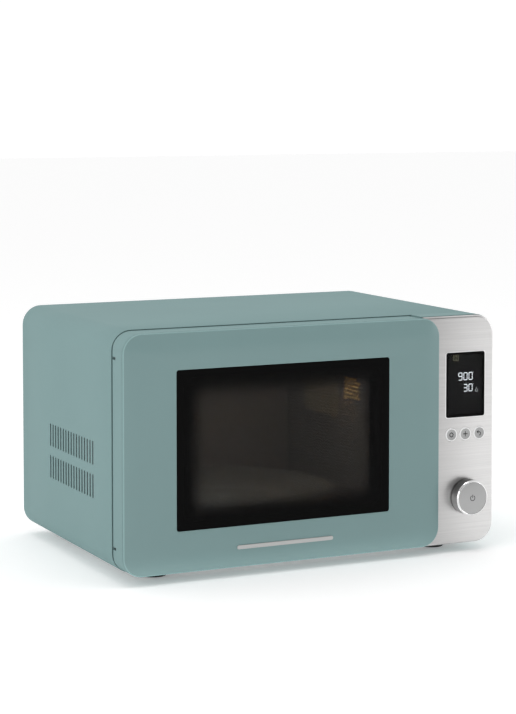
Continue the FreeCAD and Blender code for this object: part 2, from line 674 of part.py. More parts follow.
def hinge_pins():
    """One headed pin in each hinge, fixed in the door's strap."""
    pins = []
    for side in (1, -1):
        z0, z1 = hinge_leaf_z(side)
        far = z1 + 1.5 if side > 0 else z0 - 1.5
        near = z0 - (hinge_sheet + 0.8) if side > 0 else z1 + hinge_sheet + 0.8
        head = near - 1.2 if side > 0 else near
        low, high = min(far, near), max(far, near)
        pin = Part.makeCylinder(pin_radius, high - low, at(pivot_side, pivot_depth, low))
        cap = Part.makeCylinder(3.0, 1.2, at(pivot_side, pivot_depth, head))
        pins.append(fuse(pin, cap))
    return Part.makeCompound(pins)


def latch_hooks():
    """A sliding bar with two hooks that reach through the front plate."""
    bar = block(latch_side - 2.5, latch_side + 2.5, 13.0, 22.0, middle_z - latch_rise - 12, middle_z + latch_rise + 16)
    hooks = []
    for k in (-1, 1):
        z = middle_z + k * latch_rise
        arm = block(latch_side - 2.0, latch_side + 2.0, 20.0, hook_reach, z - 2, z + 5)
        barb = [at(latch_side - 2, hook_reach - 10, z - 2), at(latch_side - 2, hook_reach, z - 2),
                at(latch_side - 2, hook_reach - 8, z - 6), at(latch_side - 2, hook_reach - 10, z - 6)]
        hooks.append(arm)
        hooks.append(Part.Face(Part.makePolygon(barb + [barb[0]])).extrude(V(4, 0, 0)))
    return fuse(bar, *hooks)


spring_low = middle_z + latch_rise + 16
spring_high = choke_high - 1.4


def latch_spring():
    """The coil that presses the hooks down, as a sleeve of the coil's size, under its seat in the choke pan."""
    body = Part.makeCylinder(2.4, spring_high - spring_low, at(latch_side, 17.5, spring_low))
    return body.cut(Part.makeCylinder(1.7, spring_high - spring_low, at(latch_side, 17.5, spring_low)))


trim_left, trim_right = 139.7, 264.5
trim_low, trim_high = 33.2, 38.0
trim_proud = 0.7


def trim_shape(proud):
    return plate(trim_left, trim_right, trim_low, trim_high, 2.3, -proud, 1.6)


def door_trim_bar():
    """A plain slim bar of trim under the window."""
    bar = trim_shape(trim_proud)
    front = [e for e in bar.Edges if abs(e.CenterOfMass.y - y_at(-trim_proud)) < 0.01]
    return bar.makeFillet(0.4, front)


# ---- control panel ----
def panel_housing():
    """The moulded box beside the door. Its front wall carries the steel fascia."""
    radii = (0.0, corner, corner, 0.0)
    step = 1.7
    inner_radii = (0.0, corner - step, corner - step, 0.0)
    walls = ring_wall(housing_left, width, bottom, top, radii, wall, 13.4, seam_depth - 0.4)
    nose = ring_wall(housing_left, width - step, bottom + step, top - step, inner_radii, wall, 9.3, 16.0)
    front = plate(housing_left, width - step, bottom + step, top - step, inner_radii, 9.3, 11.3)
    half = display_width / 2 - 2.5
    holes = [plate(panel_middle - half, panel_middle + half, display_low + 2.5, display_high - 2.5, 1, 7, 14),
             rod(5.2, knob_side, 7, knob_z, 8, BACK)]
    holes += [rod(button_radius + 0.6, panel_middle + k * button_pitch, 7, button_z, 8, BACK) for k in (-1, 0, 1)]
    posts = [rod(3.0, side, 11.0, z, board_front - 11.2, BACK) for side in (407, 478) for z in (104, 158.5)]
    return fuse(fuse(walls, nose, front).cut(Part.makeCompound(holes)), *posts)


def fascia():
    """The brushed steel front of the control panel, rolled back round its edges."""
    inset = 0.6
    roll = 2.5
    radii = (0.0, corner - inset, corner - inset, 0.0)
    inner = (0.0, corner - inset - 1.0, corner - inset - 1.0, 0.0)
    low, high, far = bottom + inset, top - inset, width - inset
    shell = plate(housing_left + 0.5, far, low, high, radii, fascia_front, 13.1)
    rolled = [e for e in shell.Edges if abs(e.BoundBox.YMax - y_at(fascia_front)) < 0.01
              and e.BoundBox.XMax > x_at(housing_left) + 1.5]
    shell = shell.makeFillet(roll, rolled)
    room = plate(housing_left - 2, far - 1.0, low + 1.0, high - 1.0, inner, fascia_front + 1.0, 15)
    half = display_width / 2 + 0.4
    holes = [plate(panel_middle - half, panel_middle + half, display_low - 0.4, display_high + 0.4, 3.4, 5, 12),
             rod(4.8, knob_side, 5, knob_z, 8, BACK)]
    holes += [rod(button_radius + 0.35, panel_middle + k * button_pitch, 5, button_z, 8, BACK) for k in (-1, 0, 1)]
    return shell.cut(room).cut(Part.makeCompound(holes))


def display_window():
    half = display_width / 2
    return plate(panel_middle - half, panel_middle + half, display_low, display_high, 3.0, 7.9, 9.25)


def display_module():
    """The lit display behind its window: a light box on the control board."""
    half = display_width / 2 - 3.0
    return plate(panel_middle - half, panel_middle + half, display_low + 3, display_high - 3, 1, 9.5, board_front)


def control_board():
    """The control board, with a switch under each button."""
    board = block(402, 483, board_front, board_front + 1.6, 52, 250)
    switches = [block(side - 3, side + 3, board_front - 3.2, board_front, button_z - 3, button_z + 3)
                for side in (panel_middle - button_pitch, panel_middle, panel_middle + button_pitch)]
    relays = [block(406 + i * 24, 422 + i * 24, board_front + 1.6, 37.5, 196, 224) for i in range(3)]
    chip = block(430, 446, board_front + 1.6, board_front + 3.4, 120, 136)
    plug = block(408, 440, board_front + 1.6, board_front + 10, 60, 68)
    return fuse(board, chip, plug, *(switches + relays))


def button_guide():
    """The moulded strip that the button stems slide in."""
    strip = plate(412, 485.5, button_z - 9.5, button_z + 9.5, 3, 14.6, 17.0)
    bores = [rod(2.58, panel_middle + k * button_pitch, 12, button_z, 8, BACK) for k in (-1, 0, 1)]
    return strip.cut(Part.makeCompound(bores))


def button(k):
    """A round cap on a stem. k is -1, 0 or 1, from the left."""
    side = panel_middle + k * button_pitch
    cap = rod(button_radius, side, 7.1, button_z, 4.6, BACK)
    front = [e for e in cap.Edges if abs(e.CenterOfMass.y - y_at(7.1)) < 0.01 and isinstance(e.Curve, Part.Circle)]
    cap = cap.makeFillet(0.6, front)
    stem = rod(2.5, side, 11.0, button_z, board_front - 3.2 - button_travel - gap - 11.0, BACK)
    return fuse(cap, stem)


def knob_body():
    """The turned knob: a bevelled rim, and a hollow back with a hub for the shaft."""
    front = -knob_proud
    start, length = at(knob_side, front, knob_z), knob_back - front
    bevel = 1.6
    body = Part.makeCylinder(knob_radius, length - bevel, start + BACK * bevel, BACK)
    nose = Part.makeCone(knob_radius - bevel, knob_radius, bevel, start, BACK)
    hollow = rod(knob_radius - 2.2, knob_side, front + 4.5, knob_z, 20, BACK)
    recess = rod(knob_radius - 2.6, knob_side, front - 1, knob_z, 1.8, BACK)
    hub = rod(6.5, knob_side, front + 4.0, knob_z, length - 4.4, BACK)
    bore = rod(3.0, knob_side, front + 5.0, knob_z, 20, BACK)
    return fuse(fuse(body, nose).cut(hollow), hub).cut(recess).cut(bore)


def knob_face():
    return rod(knob_radius - 2.65, knob_side, -knob_proud + 0.25, knob_z, 0.55, BACK)


shaft_end = 18.0


def knob_shaft():
    return rod(3.0, knob_side, -knob_proud + 5.0, knob_z, shaft_end + knob_proud - 5.0, BACK)


def encoder_body():
    """The encoder case on the control board, bored for the shaft and the push plunger."""
    case = block(knob_side - 7, knob_side + 7, 13.8, board_front, knob_z - 7, knob_z + 7)
    bush = rod(4.6, knob_side, 8.6, knob_z, 6.0, BACK)
    return fuse(case, bush).cut(rod(3.05, knob_side, 5, knob_z, 12.8, BACK)).cut(rod(3.6, knob_side, 17.5, knob_z, 4.0, BACK))


def knob_plunger():
    """What the shaft pushes on to work the encoder's switch. It slides but doesn't turn."""
    return rod(3.55, knob_side, shaft_end + gap, knob_z, 2.0, BACK)


pieces = {
    "outer_casing": outer_casing, "rear_panel": rear_panel, "casing_screws": casing_screws,
    "base_plate": base_plate, "feet": feet, "foot_screws": foot_screws, "cord_gland": cord_gland,
    "front_plate": front_plate, "cavity_liner": cavity_liner, "mica_cover": mica_cover,
    "waveguide": waveguide, "magnetron_body": magnetron_body, "magnetron_antenna": magnetron_antenna,
    "cavity_lamp": cavity_lamp, "lamp_holder": lamp_holder, "transformer_core": transformer_core,
    "transformer_windings": transformer_windings, "capacitor": capacitor, "fan_housing": fan_housing,
    "fan_motor": fan_motor, "fan_blade": fan_blade, "thermal_cutouts": thermal_cutouts,
    "filter_board": filter_board, "latch_base": latch_base, "door_switches": door_switches,
    "turntable_motor": turntable_motor, "turntable_shaft": turntable_shaft, "tray_coupler": tray_coupler,
    "turntable_tray": turntable_tray, "roller_ring": roller_ring,
    "roller_right": lambda: roller(0), "roller_back": lambda: roller(120), "roller_front": lambda: roller(240),
    "door_cover": door_cover, "door_glass": door_glass, "door_frame": door_frame, "choke_frame": choke_frame,
    "door_screen": door_screen, "inner_pane": inner_pane, "choke_cover": choke_cover,
    "hinge_arms": lambda: both(hinge_arm), "hinge_brackets": lambda: both(hinge_bracket),
    "hinge_pins": hinge_pins, "latch_hooks": latch_hooks, "latch_spring": latch_spring,
    "door_trim_bar": door_trim_bar, "panel_housing": panel_housing, "fascia": fascia,
    "display_window": display_window, "display_module": display_module, "control_board": control_board,
    "button_guide": button_guide, "button_left": lambda: button(-1), "button_middle": lambda: button(0),
    "button_right": lambda: button(1), "knob_body": knob_body, "knob_face": knob_face,
    "knob_shaft": knob_shaft, "encoder_body": encoder_body, "knob_plunger": knob_plunger,
}

for name, make in pieces.items():
    save(name, make())
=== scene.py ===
import json
import math

import bmesh
import bpy
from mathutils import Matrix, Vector


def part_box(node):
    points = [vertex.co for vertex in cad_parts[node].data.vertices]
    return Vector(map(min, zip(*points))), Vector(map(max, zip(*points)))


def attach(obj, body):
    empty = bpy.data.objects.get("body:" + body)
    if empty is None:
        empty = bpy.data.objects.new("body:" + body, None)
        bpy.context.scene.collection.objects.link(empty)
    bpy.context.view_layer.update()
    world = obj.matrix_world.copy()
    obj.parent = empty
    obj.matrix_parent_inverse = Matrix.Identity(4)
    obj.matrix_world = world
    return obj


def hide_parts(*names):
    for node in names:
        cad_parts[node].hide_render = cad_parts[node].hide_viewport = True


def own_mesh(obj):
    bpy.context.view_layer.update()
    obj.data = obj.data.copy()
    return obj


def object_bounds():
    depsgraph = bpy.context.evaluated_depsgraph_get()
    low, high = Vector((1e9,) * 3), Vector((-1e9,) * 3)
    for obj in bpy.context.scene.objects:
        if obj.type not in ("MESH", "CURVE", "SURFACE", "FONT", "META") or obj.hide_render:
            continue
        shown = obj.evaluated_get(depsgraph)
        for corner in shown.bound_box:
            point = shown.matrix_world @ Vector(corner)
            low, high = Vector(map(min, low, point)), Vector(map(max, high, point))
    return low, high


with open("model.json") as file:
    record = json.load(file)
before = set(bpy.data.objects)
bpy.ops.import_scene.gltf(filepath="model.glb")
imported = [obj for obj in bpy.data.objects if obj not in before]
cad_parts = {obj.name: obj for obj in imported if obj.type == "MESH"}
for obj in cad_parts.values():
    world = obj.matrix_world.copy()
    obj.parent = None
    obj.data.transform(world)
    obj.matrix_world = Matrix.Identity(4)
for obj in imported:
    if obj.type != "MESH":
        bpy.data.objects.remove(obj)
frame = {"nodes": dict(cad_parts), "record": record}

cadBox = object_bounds()
nodes = frame["nodes"]
record = frame["record"]
bodyOf = {node: body for body, members in record["behaviour"]["bodies"].items() for node in members}
slotOf = {row["node"]: row["material_slot"] for row in record["subparts"]}
mm = 0.001
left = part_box("outer_casing")[0].x
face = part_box("door_cover")[0].y


# Places are millimetres from the casing's left side, back from the door's face, and up from the floor.
def at(side, depth, height):
    return Vector((left + side * mm, face + depth * mm, height * mm))


def span(node):
    low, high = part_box(node)
    return ((low.x - left) / mm, (high.x - left) / mm, (low.y - face) / mm, (high.y - face) / mm,
            low.z / mm, high.z / mm)


# camera, light and floor
camera = {"side": -876.7, "depth": -2184.1, "height": 564.1, "yaw": 25.53, "pitch": 3.4,
          "lens": 106.4, "shift": -0.2}
studio = {"sky": 1.06, "front": 1.1, "frontFall": 1.4, "zenith": 0.16, "floorTone": 0.95, "floorGlow": 0.24,
          "floorReach": 14.0}


def setCamera():
    data = bpy.data.cameras.new("camera")
    data.lens = camera["lens"]
    data.sensor_width = 36
    data.shift_y = camera["shift"]
    data.clip_end = 50
    eye = bpy.data.objects.new("camera", data)
    eye.location = at(camera["side"], camera["depth"], camera["height"])
    eye.rotation_euler = (math.radians(90 - camera["pitch"]), 0, math.radians(-camera["yaw"]))
    bpy.context.scene.collection.objects.link(eye)
    bpy.context.scene.camera = eye


def softbox(name, place, aim, size, power, colour=(1, 1, 1)):
    data = bpy.data.lights.new(name, "AREA")
    data.shape = "RECTANGLE"
    data.size, data.size_y = size
    data.energy = power
    data.color = colour
    lamp = bpy.data.objects.new(name, data)
    lamp.location = place
    lamp.rotation_euler = (Vector(aim) - Vector(place)).to_track_quat("-Z", "Y").to_euler()
    lamp.visible_camera = False
    bpy.context.scene.collection.objects.link(lamp)
    return lamp


class Tap:
    # one output of a node; sums on it add Math nodes
    def __init__(self, finish, socket):
        self.finish = finish
        self.socket = socket

    def maths(self, operation, *terms):
        return self.finish.add("Math", {"operation": operation}, dict(enumerate(terms)))

    def __add__(self, other):
        return self.maths("ADD", self, other)

    def __radd__(self, other):
        return self.maths("ADD", other, self)

    def __sub__(self, other):
        return self.maths("SUBTRACT", self, other)

    def __rsub__(self, other):
        return self.maths("SUBTRACT", other, self)

    def __mul__(self, other):
        return self.maths("MULTIPLY", self, other)

    def __rmul__(self, other):
        return self.maths("MULTIPLY", other, self)

    def __pow__(self, other):
        return self.maths("POWER", self, other)

    def __abs__(self):
        return self.maths("ABSOLUTE", self)

    def least(self, other):
        return self.maths("MINIMUM", self, other)

    def most(self, other):
        return self.maths("MAXIMUM", self, other)

    def ramp(self, low, high):
        return self.finish.add("MapRange", {"interpolation_type": "SMOOTHSTEP"},
                               {"Value": self, "From Min": low, "From Max": high})


class Finish:
    # a material's or the sky's node tree under construction
    def __init__(self, name, owner=None):
        self.owner = owner or bpy.data.materials.new(name)
        self.owner.use_nodes = True
        self.tree = self.owner.node_tree
        self.tree.nodes.clear()
        self.spots = {}

    def add(self, kind, settings=None, values=None, out=0):
        node = self.tree.nodes.new("ShaderNode" + kind)
        for key, value in (settings or {}).items():
            setattr(node, key, value)
        for key, value in (values or {}).items():
            if isinstance(value, Tap):
                self.tree.links.new(value.socket, node.inputs[key])
            else:
                node.inputs[key].default_value = value
        return Tap(self, node.outputs[out]) if node.outputs else None

    def spot(self, kind="Object"):
        if kind not in self.spots:
            self.spots[kind] = self.add("TexCoord", {}, {}, kind)
        return self.spots[kind]

    def axis(self, name):
        return self.add("SeparateXYZ", {}, {0: self.spot()}, name)

    def noise(self, scale, detail=2.0, stretch=(1, 1, 1), roughness=0.5):
        spot = self.add("VectorMath", {"operation": "MULTIPLY"}, {0: self.spot(), 1: stretch})
        return self.add("TexNoise", {}, {"Vector": spot, "Scale": scale, "Detail": detail,
                                         "Roughness": roughness})

    def cells(self, scale, out):
        return self.add("TexVoronoi", {}, {"Vector": self.spot(), "Scale": scale}, out)

    def mixed(self, amount, first, second):
        return self.add("Mix", {"data_type": "RGBA"}, {0: amount, 6: first, 7: second}, 2)

    def bump(self, height, distance, strength=1.0):
        return self.add("Bump", {}, {"Height": height, "Distance": distance, "Strength": strength})

    def shader(self, values):
        return self.add("BsdfPrincipled", {}, values)

    def done(self, surface):
        self.add("OutputMaterial", {}, {"Surface": surface})
        return self.owner


def tone(red, green=None, blue=None, alpha=1.0):
    green = red if green is None else green
    return (red, green, green if blue is None else blue, alpha)


def scaled(colour, factor):
    return tuple(min(1.0, part * factor) for part in colour[:3]) + (colour[3],)


def setSky():
    sky = Finish("sky", bpy.data.worlds.new("sky"))
    bpy.context.scene.world = sky.owner
    facing = sky.add("SeparateXYZ", {}, {0: sky.spot("Generated")}, "Y")
    upward = sky.add("SeparateXYZ", {}, {0: sky.spot("Generated")}, "Z")
    front = (facing * -1).most(0) ** studio["frontFall"]
    level = studio["sky"] - front * studio["front"] - upward.most(0) * studio["zenith"]
    light = sky.add("Background", {}, {"Color": tone(1), "Strength": level})
    sky.add("OutputWorld", {}, {"Surface": light})


def setFloor():
    size = studio["floorReach"]
    mesh = bpy.data.meshes.new("floor")
    corners = [(-size, -size, 0), (size, -size, 0), (size, size, 0), (-size, size, 0)]
    mesh.from_pydata(corners, [], [(0, 1, 2, 3)])
    floor = bpy.data.objects.new("floor", mesh)
    bpy.context.scene.collection.objects.link(floor)
    finish = Finish("floor")
    speck = finish.noise(30.0)
    level = studio["floorTone"]
    colour = finish.mixed(speck, tone(level), tone(level * 1.02))
    mesh.materials.append(finish.done(finish.shader({
        "Base Color": colour, "Roughness": 0.7, "Specular IOR Level": 0.0, "Emission Color": colour,
        "Emission Strength": studio["floorGlow"]})))


setCamera()
setSky()
setFloor()
middle = (cadBox[0] + cadBox[1]) / 2
softboxes = {
    "overhead": {"place": (-0.9, 0.2, 2.4), "aim": middle, "size": (1.2, 2.4), "power": 2.0},
    "frontCard": {"place": (-0.04, face - 0.012, 0.003), "aim": (-0.04, face - 0.012, 1),
                  "size": (0.42, 0.03), "power": 0.022},
    "topFront": {"place": (-0.2, -0.6, 2.2), "aim": (0, face, 0.15), "size": (1.6, 0.5), "power": 8.0},
    "leftFront": {"place": (-1.9, -1.6, 0.7), "aim": (-0.2, face, 0.15), "size": (0.5, 1.2), "power": 7.0},
    "rightFront": {"place": (2.2, -1.0, 0.7), "aim": (0.2, face, 0.15), "size": (0.6, 1.2), "power": 7.0},
}
for name, values in softboxes.items():
    softbox(name, **values)
bpy.context.scene.view_settings.view_transform = "Standard"
print("camera and light are set")


# finishes
sage = tone(0.212, 0.322, 0.322)


def painted(name, colour, grain=0.9, roughness=0.42, coat=0.1, wear=0.03):
    # sprayed enamel: slow drift in colour, and a fine orange peel
    finish = Finish(name)
    drift = finish.noise(9.0, 3.0)
    peel = finish.noise(1100.0 / grain, 2.0)
    base = finish.mixed(drift, scaled(colour, 1 - wear), scaled(colour, 1 + wear))
    rough = roughness - 0.05 + drift * 0.06 + peel * 0.05
    return finish.done(finish.shader({
        "Base Color": base, "Roughness": rough, "Coat Weight": coat, "Coat Roughness": 0.2, "Coat IOR": 2.2,
        "Specular IOR Level": 0.0, "Normal": finish.bump(peel, 0.00003 * grain, 0.35)}))


def brushed(name, colour, along="X", roughness=0.34, fine=1.0, contrast=0.10, paintedSheen=None):
    # sheet ground in one direction; the optional last argument gives where along X a painted sheen lightens
    # the base colour, and by how much
    finish = Finish(name)
    stretch = {"X": (6, 900, 900), "Z": (900, 900, 6)}[along]
    streak = finish.noise(fine, 3.0, stretch, 0.65)
    broad = finish.noise(fine * 0.12, 2.0, stretch)
    mark = streak * 0.7 + broad * 0.3
    base = finish.mixed(mark, scaled(colour, 1 - contrast), scaled(colour, 1 + contrast))
    # painted sheen: the base colour grows lighter along X, standing in for a brighter reflection towards the
    # right
    if paintedSheen:
        gain = 1 + finish.axis("X").ramp(paintedSheen[0], paintedSheen[1]) * paintedSheen[2]
        base = finish.add("VectorMath", {"operation": "SCALE"}, {0: base, "Scale": gain})
    return finish.done(finish.shader({
        "Base Color": base, "Metallic": 1.0, "Roughness": roughness - 0.08 + mark * 0.16,
        "Anisotropic": 0.5, "Normal": finish.bump(streak, 0.00002, 0.5)}))


def turned(name, colour, centre, roughness=0.3):
    # marks that run round an axis parallel to the depth
    finish = Finish(name)
    offset = finish.add("VectorMath", {"operation": "SUBTRACT"}, {0: finish.spot(), 1: centre})
    flat = finish.add("VectorMath", {"operation": "MULTIPLY"}, {0: offset, 1: (1, 0, 1)})
    radius = finish.add("VectorMath", {"operation": "LENGTH"}, {0: flat}, "Value")
    oneWay = {"noise_dimensions": "1D"}
    groove = finish.add("TexNoise", oneWay, {"W": radius, "Scale": 2600.0, "Detail": 2.0})
    ring = finish.add("TexNoise", oneWay, {"W": radius, "Scale": 300.0, "Detail": 1.0})
    mark = groove * 0.7 + ring * 0.3
    base = finish.mixed(mark, scaled(colour, 0.93), scaled(colour, 1.07))
    return finish.done(finish.shader({
        "Base Color": base, "Metallic": 1.0, "Roughness": roughness - 0.06 + mark * 0.12,
        "Normal": finish.bump(groove, 0.00002, 0.4)}))


def polished(name, colour, roughness=0.12):
    finish = Finish(name)
    smear = finish.noise(160.0, 3.0)
    return finish.done(finish.shader({
        "Base Color": finish.mixed(smear, scaled(colour, 0.95), scaled(colour, 1.04)),
        "Metallic": 1.0, "Roughness": roughness + smear * 0.06}))


def spangled(name, colour, patch=260.0, roughness=0.42):
    # zinc coating: patches of slightly different grey
    finish = Finish(name)
    patchTone = finish.add("SeparateXYZ", {}, {0: finish.cells(patch, "Color")}, "X")
    scuff = finish.noise(40.0, 4.0)
    base = finish.mixed(patchTone, scaled(colour, 0.86), scaled(colour, 1.1))
    return finish.done(finish.shader({
        "Base Color": base, "Metallic": 1.0,
        "Roughness": roughness - 0.05 + patchTone * 0.1 + scuff * 0.06}))


def moulded(name, colour, grain=0.35, roughness=0.5, sheen=0.0, translucent=0.0):
    # moulded plastic: spark-eroded grain and a slow change in gloss
    finish = Finish(name)
    texture = finish.noise(1500.0 / max(grain, 0.1), 3.0)
    gloss = finish.noise(25.0, 2.0)
    base = finish.mixed(texture * 0.5 + gloss * 0.5, scaled(colour, 0.94), scaled(colour, 1.06))
    return finish.done(finish.shader({
        "Base Color": base, "Roughness": roughness - 0.04 + gloss * 0.08, "Sheen Weight": sheen,
        "Subsurface Weight": translucent, "Subsurface Radius": (0.002, 0.002, 0.0015),
        "Normal": finish.bump(texture, 0.00004 * grain, 0.6)}))


def layered(name, colour, pitch, direction=(0, 0, 1), metallic=0.0, roughness=0.45, depth=0.0002):
    # stacked sheets or close-wound wire: regular lines along a direction
    finish = Finish(name)
    along = finish.add("VectorMath", {"operation": "DOT_PRODUCT"}, {0: finish.spot(), 1: direction}, "Value")
    phase = along * (2 * math.pi / pitch)
    line = phase.maths("SINE", phase) * 0.5 + 0.5
    grime = finish.noise(70.0, 4.0)
    # the colour is darkest where the bump is lowest: dark joints between stacked sheets, and painted shade in
    # the grooves between turns of wire
    base = finish.mixed(line * 0.6 + grime * 0.4, scaled(colour, 0.62), scaled(colour, 1.15))
    return finish.done(finish.shader({
        "Base Color": base, "Metallic": metallic, "Roughness": roughness - 0.05 + grime * 0.1,
        "Normal": finish.bump(line, depth, 0.7)}))


def flaky(name, colour):
    # mica: thin silvery layers with ragged patches
    finish = Finish(name)
    flake = finish.cells(120.0, "Color")
    flakeTone = finish.add("SeparateXYZ", {}, {0: flake}, "X")
    cloud = finish.noise(60.0, 5.0)
    base = finish.mixed(flakeTone * 0.4 + cloud * 0.6, scaled(colour, 0.72), scaled(colour, 1.2))
    return finish.done(finish.shader({
        "Base Color": base, "Roughness": 0.3 + cloud * 0.2, "Specular IOR Level": 0.8,
        "Normal": finish.bump(flakeTone, 0.00008, 0.5)}))


def printedBoard(name, colour):
    # solder mask over copper tracks
    finish = Finish(name)
    track = finish.cells(190.0, "Distance").ramp(0.24, 0.3)
    weave = finish.noise(900.0, 1.0)
    base = finish.mixed(track, scaled(colour, 1.5), colour)
    return finish.done(finish.shader({
        "Base Color": base, "Roughness": 0.3 + weave * 0.1, "Normal": finish.bump(track, 0.00004, 0.5)}))


def clearGlass(name, tint, alpha, edgeGain):
    # clear pane or dish: the edge of the shape shows more than its middle
    finish = Finish(name)
    smear = finish.noise(14.0, 3.0)
    edge = finish.add("LayerWeight", {}, {"Blend": 0.35}, "Facing")
    return finish.done(finish.shader({
        "Base Color": finish.mixed(smear, scaled(tint, 0.97), scaled(tint, 1.03)),
        "Roughness": 0.03 + smear * 0.03, "Alpha": (alpha + edge * edgeGain).least(1), "IOR": 1.5,
        "Specular IOR Level": 0.5}))


def lit(name, colour, strength):
    finish = Finish(name)
    flicker = finish.noise(700.0, 1.0)
    glow = finish.mixed(flicker, scaled(colour, 0.9), colour)
    return finish.done(finish.shader({
        "Base Color": tone(0.6), "Roughness": 0.4, "Emission Color": glow, "Emission Strength": strength}))


def inked(name, colour, roughness=0.5):
    finish = Finish(name)
    fleck = finish.noise(1200.0, 2.0)
    return finish.done(finish.shader({
        "Base Color": finish.mixed(fleck, scaled(colour, 0.9), scaled(colour, 1.1)),
        "Roughness": roughness - 0.05 + fleck * 0.1}))


windowFade = {"clear": 0.42, "inset": 12.0, "soft": 32.0, "shine": 0.035}
displayFade = {"clear": 0.4, "inset": 2.2, "soft": 1.5, "shine": 0.06}


def tintedWindow(name, node, fade):
    # dark glass: a black printed border that fades towards the clear middle
    finish = Finish(name)
    side0, side1, _, _, height0, height1 = span(node)
    low, high = at(side0, 0, height0), at(side1, 0, height1)
    centre = (low + high) / 2
    half = (high - low) / 2
    across = half.x - abs(finish.axis("X") - centre.x)
    upward = half.z - abs(finish.axis("Z") - centre.z)
    start = fade["inset"] * mm
    clear = across.ramp(start, start + fade["soft"] * mm) * upward.ramp(start, start + fade["soft"] * mm)
    smear = finish.noise(20.0, 4.0)
    base = finish.mixed(clear, tone(0.003), tone(0.008))
    return finish.done(finish.shader({
        "Base Color": base, "Roughness": 0.06 + smear * 0.05, "Alpha": 1 - clear * (1 - fade["clear"]),
        "IOR": 1.45, "Specular IOR Level": fade["shine"]}))


knobCentre = sum((Vector(corner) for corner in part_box("knob_body")), Vector()) / 2
finishes = {
    "coloured_steel": painted("sagePaint", sage),
    "coloured_moulding": painted("sageMoulding", sage, grain=0.7, roughness=0.40),
    # the fascia's colour lightens towards the right: a painted sheen
    "brushed_fascia": brushed("brushedFascia", tone(0.46, 0.455, 0.452), fine=2.2, contrast=0.24,
                              paintedSheen=(0.14, 0.24, 0.55)),
    "turned_metal": turned("turnedMetal", tone(0.40), knobCentre),
    "bright_trim": brushed("brightTrim", tone(0.46, 0.46, 0.455), roughness=0.3, fine=2.0),
    "dark_glass": tintedWindow("tintedWindow", "door_glass", windowFade),
    "clear_glass": clearGlass("clearGlass", tone(0.62, 0.68, 0.67), 0.10, 0.35),
    "cavity_enamel": painted("cavityEnamel", tone(0.34, 0.33, 0.32), grain=1.6, roughness=0.36, coat=0.3,
                             wear=0.1),
    "front_plate_enamel": painted("frontPlateEnamel", scaled(sage, 0.9), grain=1.2, roughness=0.45),
    "zinc_sheet": spangled("zincSheet", tone(0.55, 0.56, 0.57)),
    "screw_steel": polished("screwSteel", tone(0.62), 0.24),
    "screen_black": painted("screenBlack", tone(0.012), grain=1.0, roughness=0.5, coat=0.0, wear=0.2),
    "black_plastic": moulded("blackPlastic", tone(0.022, 0.022, 0.024), 0.8, 0.48),
    "white_plastic": moulded("whitePlastic", tone(0.72, 0.71, 0.68), 0.3, 0.4, translucent=0.1),
    "button_grey": moulded("buttonGrey", tone(0.42), 0.2, 0.35),
    "foot_rubber": moulded("footRubber", tone(0.018), 1.4, 0.75, sheen=0.1),
    "mica": flaky("micaSheet", tone(0.55, 0.48, 0.36)),
    "copper_alloy": layered("woundCopper", tone(0.62, 0.27, 0.12), 0.0009, metallic=0.6, roughness=0.35),
    "core_iron": layered("coreLaminations", tone(0.13, 0.13, 0.14), 0.0008, (0, 1, 0), roughness=0.5),
    "bare_aluminium": brushed("drawnCan", tone(0.75, 0.75, 0.76), "Z", 0.36, 1.5, 0.05),
    "board_green": printedBoard("printedBoard", tone(0.02, 0.12, 0.05)),
}
extras = {
    "displayLight": lit("displayLight", tone(0.88, 0.94, 1.0), 4.0),
    "chrome": polished("bevelChrome", tone(0.86), 0.06),
    "darkMark": inked("darkMark", tone(0.02)),
    # the buttons' white rings glow faintly: a painted brightness, as they hold no lamp
    "whiteRingPaintedGlow": lit("whiteRingPaintedGlow", tone(0.9), 0.35),
    "lampGlow": lit("lampGlow", tone(1.0, 0.6, 0.2), 3.0),
    "lampGlass": lit("lampGlass", tone(1.0, 0.62, 0.25), 9.0),
    "brightEdge": polished("brightEdge", tone(0.93), 0.3),
    "dimIcon": lit("dimIcon", tone(0.30, 0.31, 0.09), 0.9),
    "displayGlass": tintedWindow("displayGlass", "display_window", displayFade),
    # sage lightened by 1.3 for the door's rim facet and window edge: a painted highlight line
    "paintedEdgeHighlight": painted("paintedEdgeHighlight", scaled(sage, 1.3), grain=0.7),
    "iconLight": lit("iconLight", tone(0.8, 0.85, 0.9), 2.2),
}

for name, node in nodes.items():
    for slot in node.material_slots:
        slot.material = finishes[slotOf[name]]
for slot in nodes["cavity_lamp"].material_slots:
    slot.material = extras["lampGlass"]
print("finishes are on the frame's own parts")


# making pieces
def piece(name, mesh, node, finish=None, replaces=True, sharp=35, soft=True):
    # a mesh in the frame's own place, riding where its CAD node does
    mesh.materials.append(finish or finishes[slotOf[node]])
    mesh.polygons.foreach_set("use_smooth", [soft] * len(mesh.polygons))
    if soft:
        mesh.set_sharp_from_angle(angle=math.radians(sharp))
    made = bpy.data.objects.new(name, mesh)
    bpy.context.scene.collection.objects.link(made)
    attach(made, bodyOf[node])
    if replaces:
        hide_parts(node)
    return made


def closedMesh(name, build):
    # build(bm) fills a bmesh; its faces are then turned outwards
    bm = bmesh.new()
    build(bm)
    bmesh.ops.remove_doubles(bm, verts=bm.verts, dist=2e-6)
    bmesh.ops.recalc_face_normals(bm, faces=bm.faces)
    mesh = bpy.data.meshes.new(name)
    bm.to_mesh(mesh)
    bm.free()
    return mesh


def addLoops(bm, loops, joined=False, capFirst=False, capLast=False):
    # quads between loops that have the same number of points
    rings = [[bm.verts.new(spot) for spot in loop] for loop in loops]
    pairs = list(zip(rings, rings[1:]))
    if joined:
        pairs.append((rings[-1], rings[0]))
    count = len(rings[0])
    for first, second in pairs:
        for i in range(count):
            j = (i + 1) % count
            bm.faces.new((first[i], first[j], second[j], second[i]))
    if capFirst:
        bm.faces.new(rings[0])
    if capLast:
        bm.faces.new(rings[-1])
    return rings


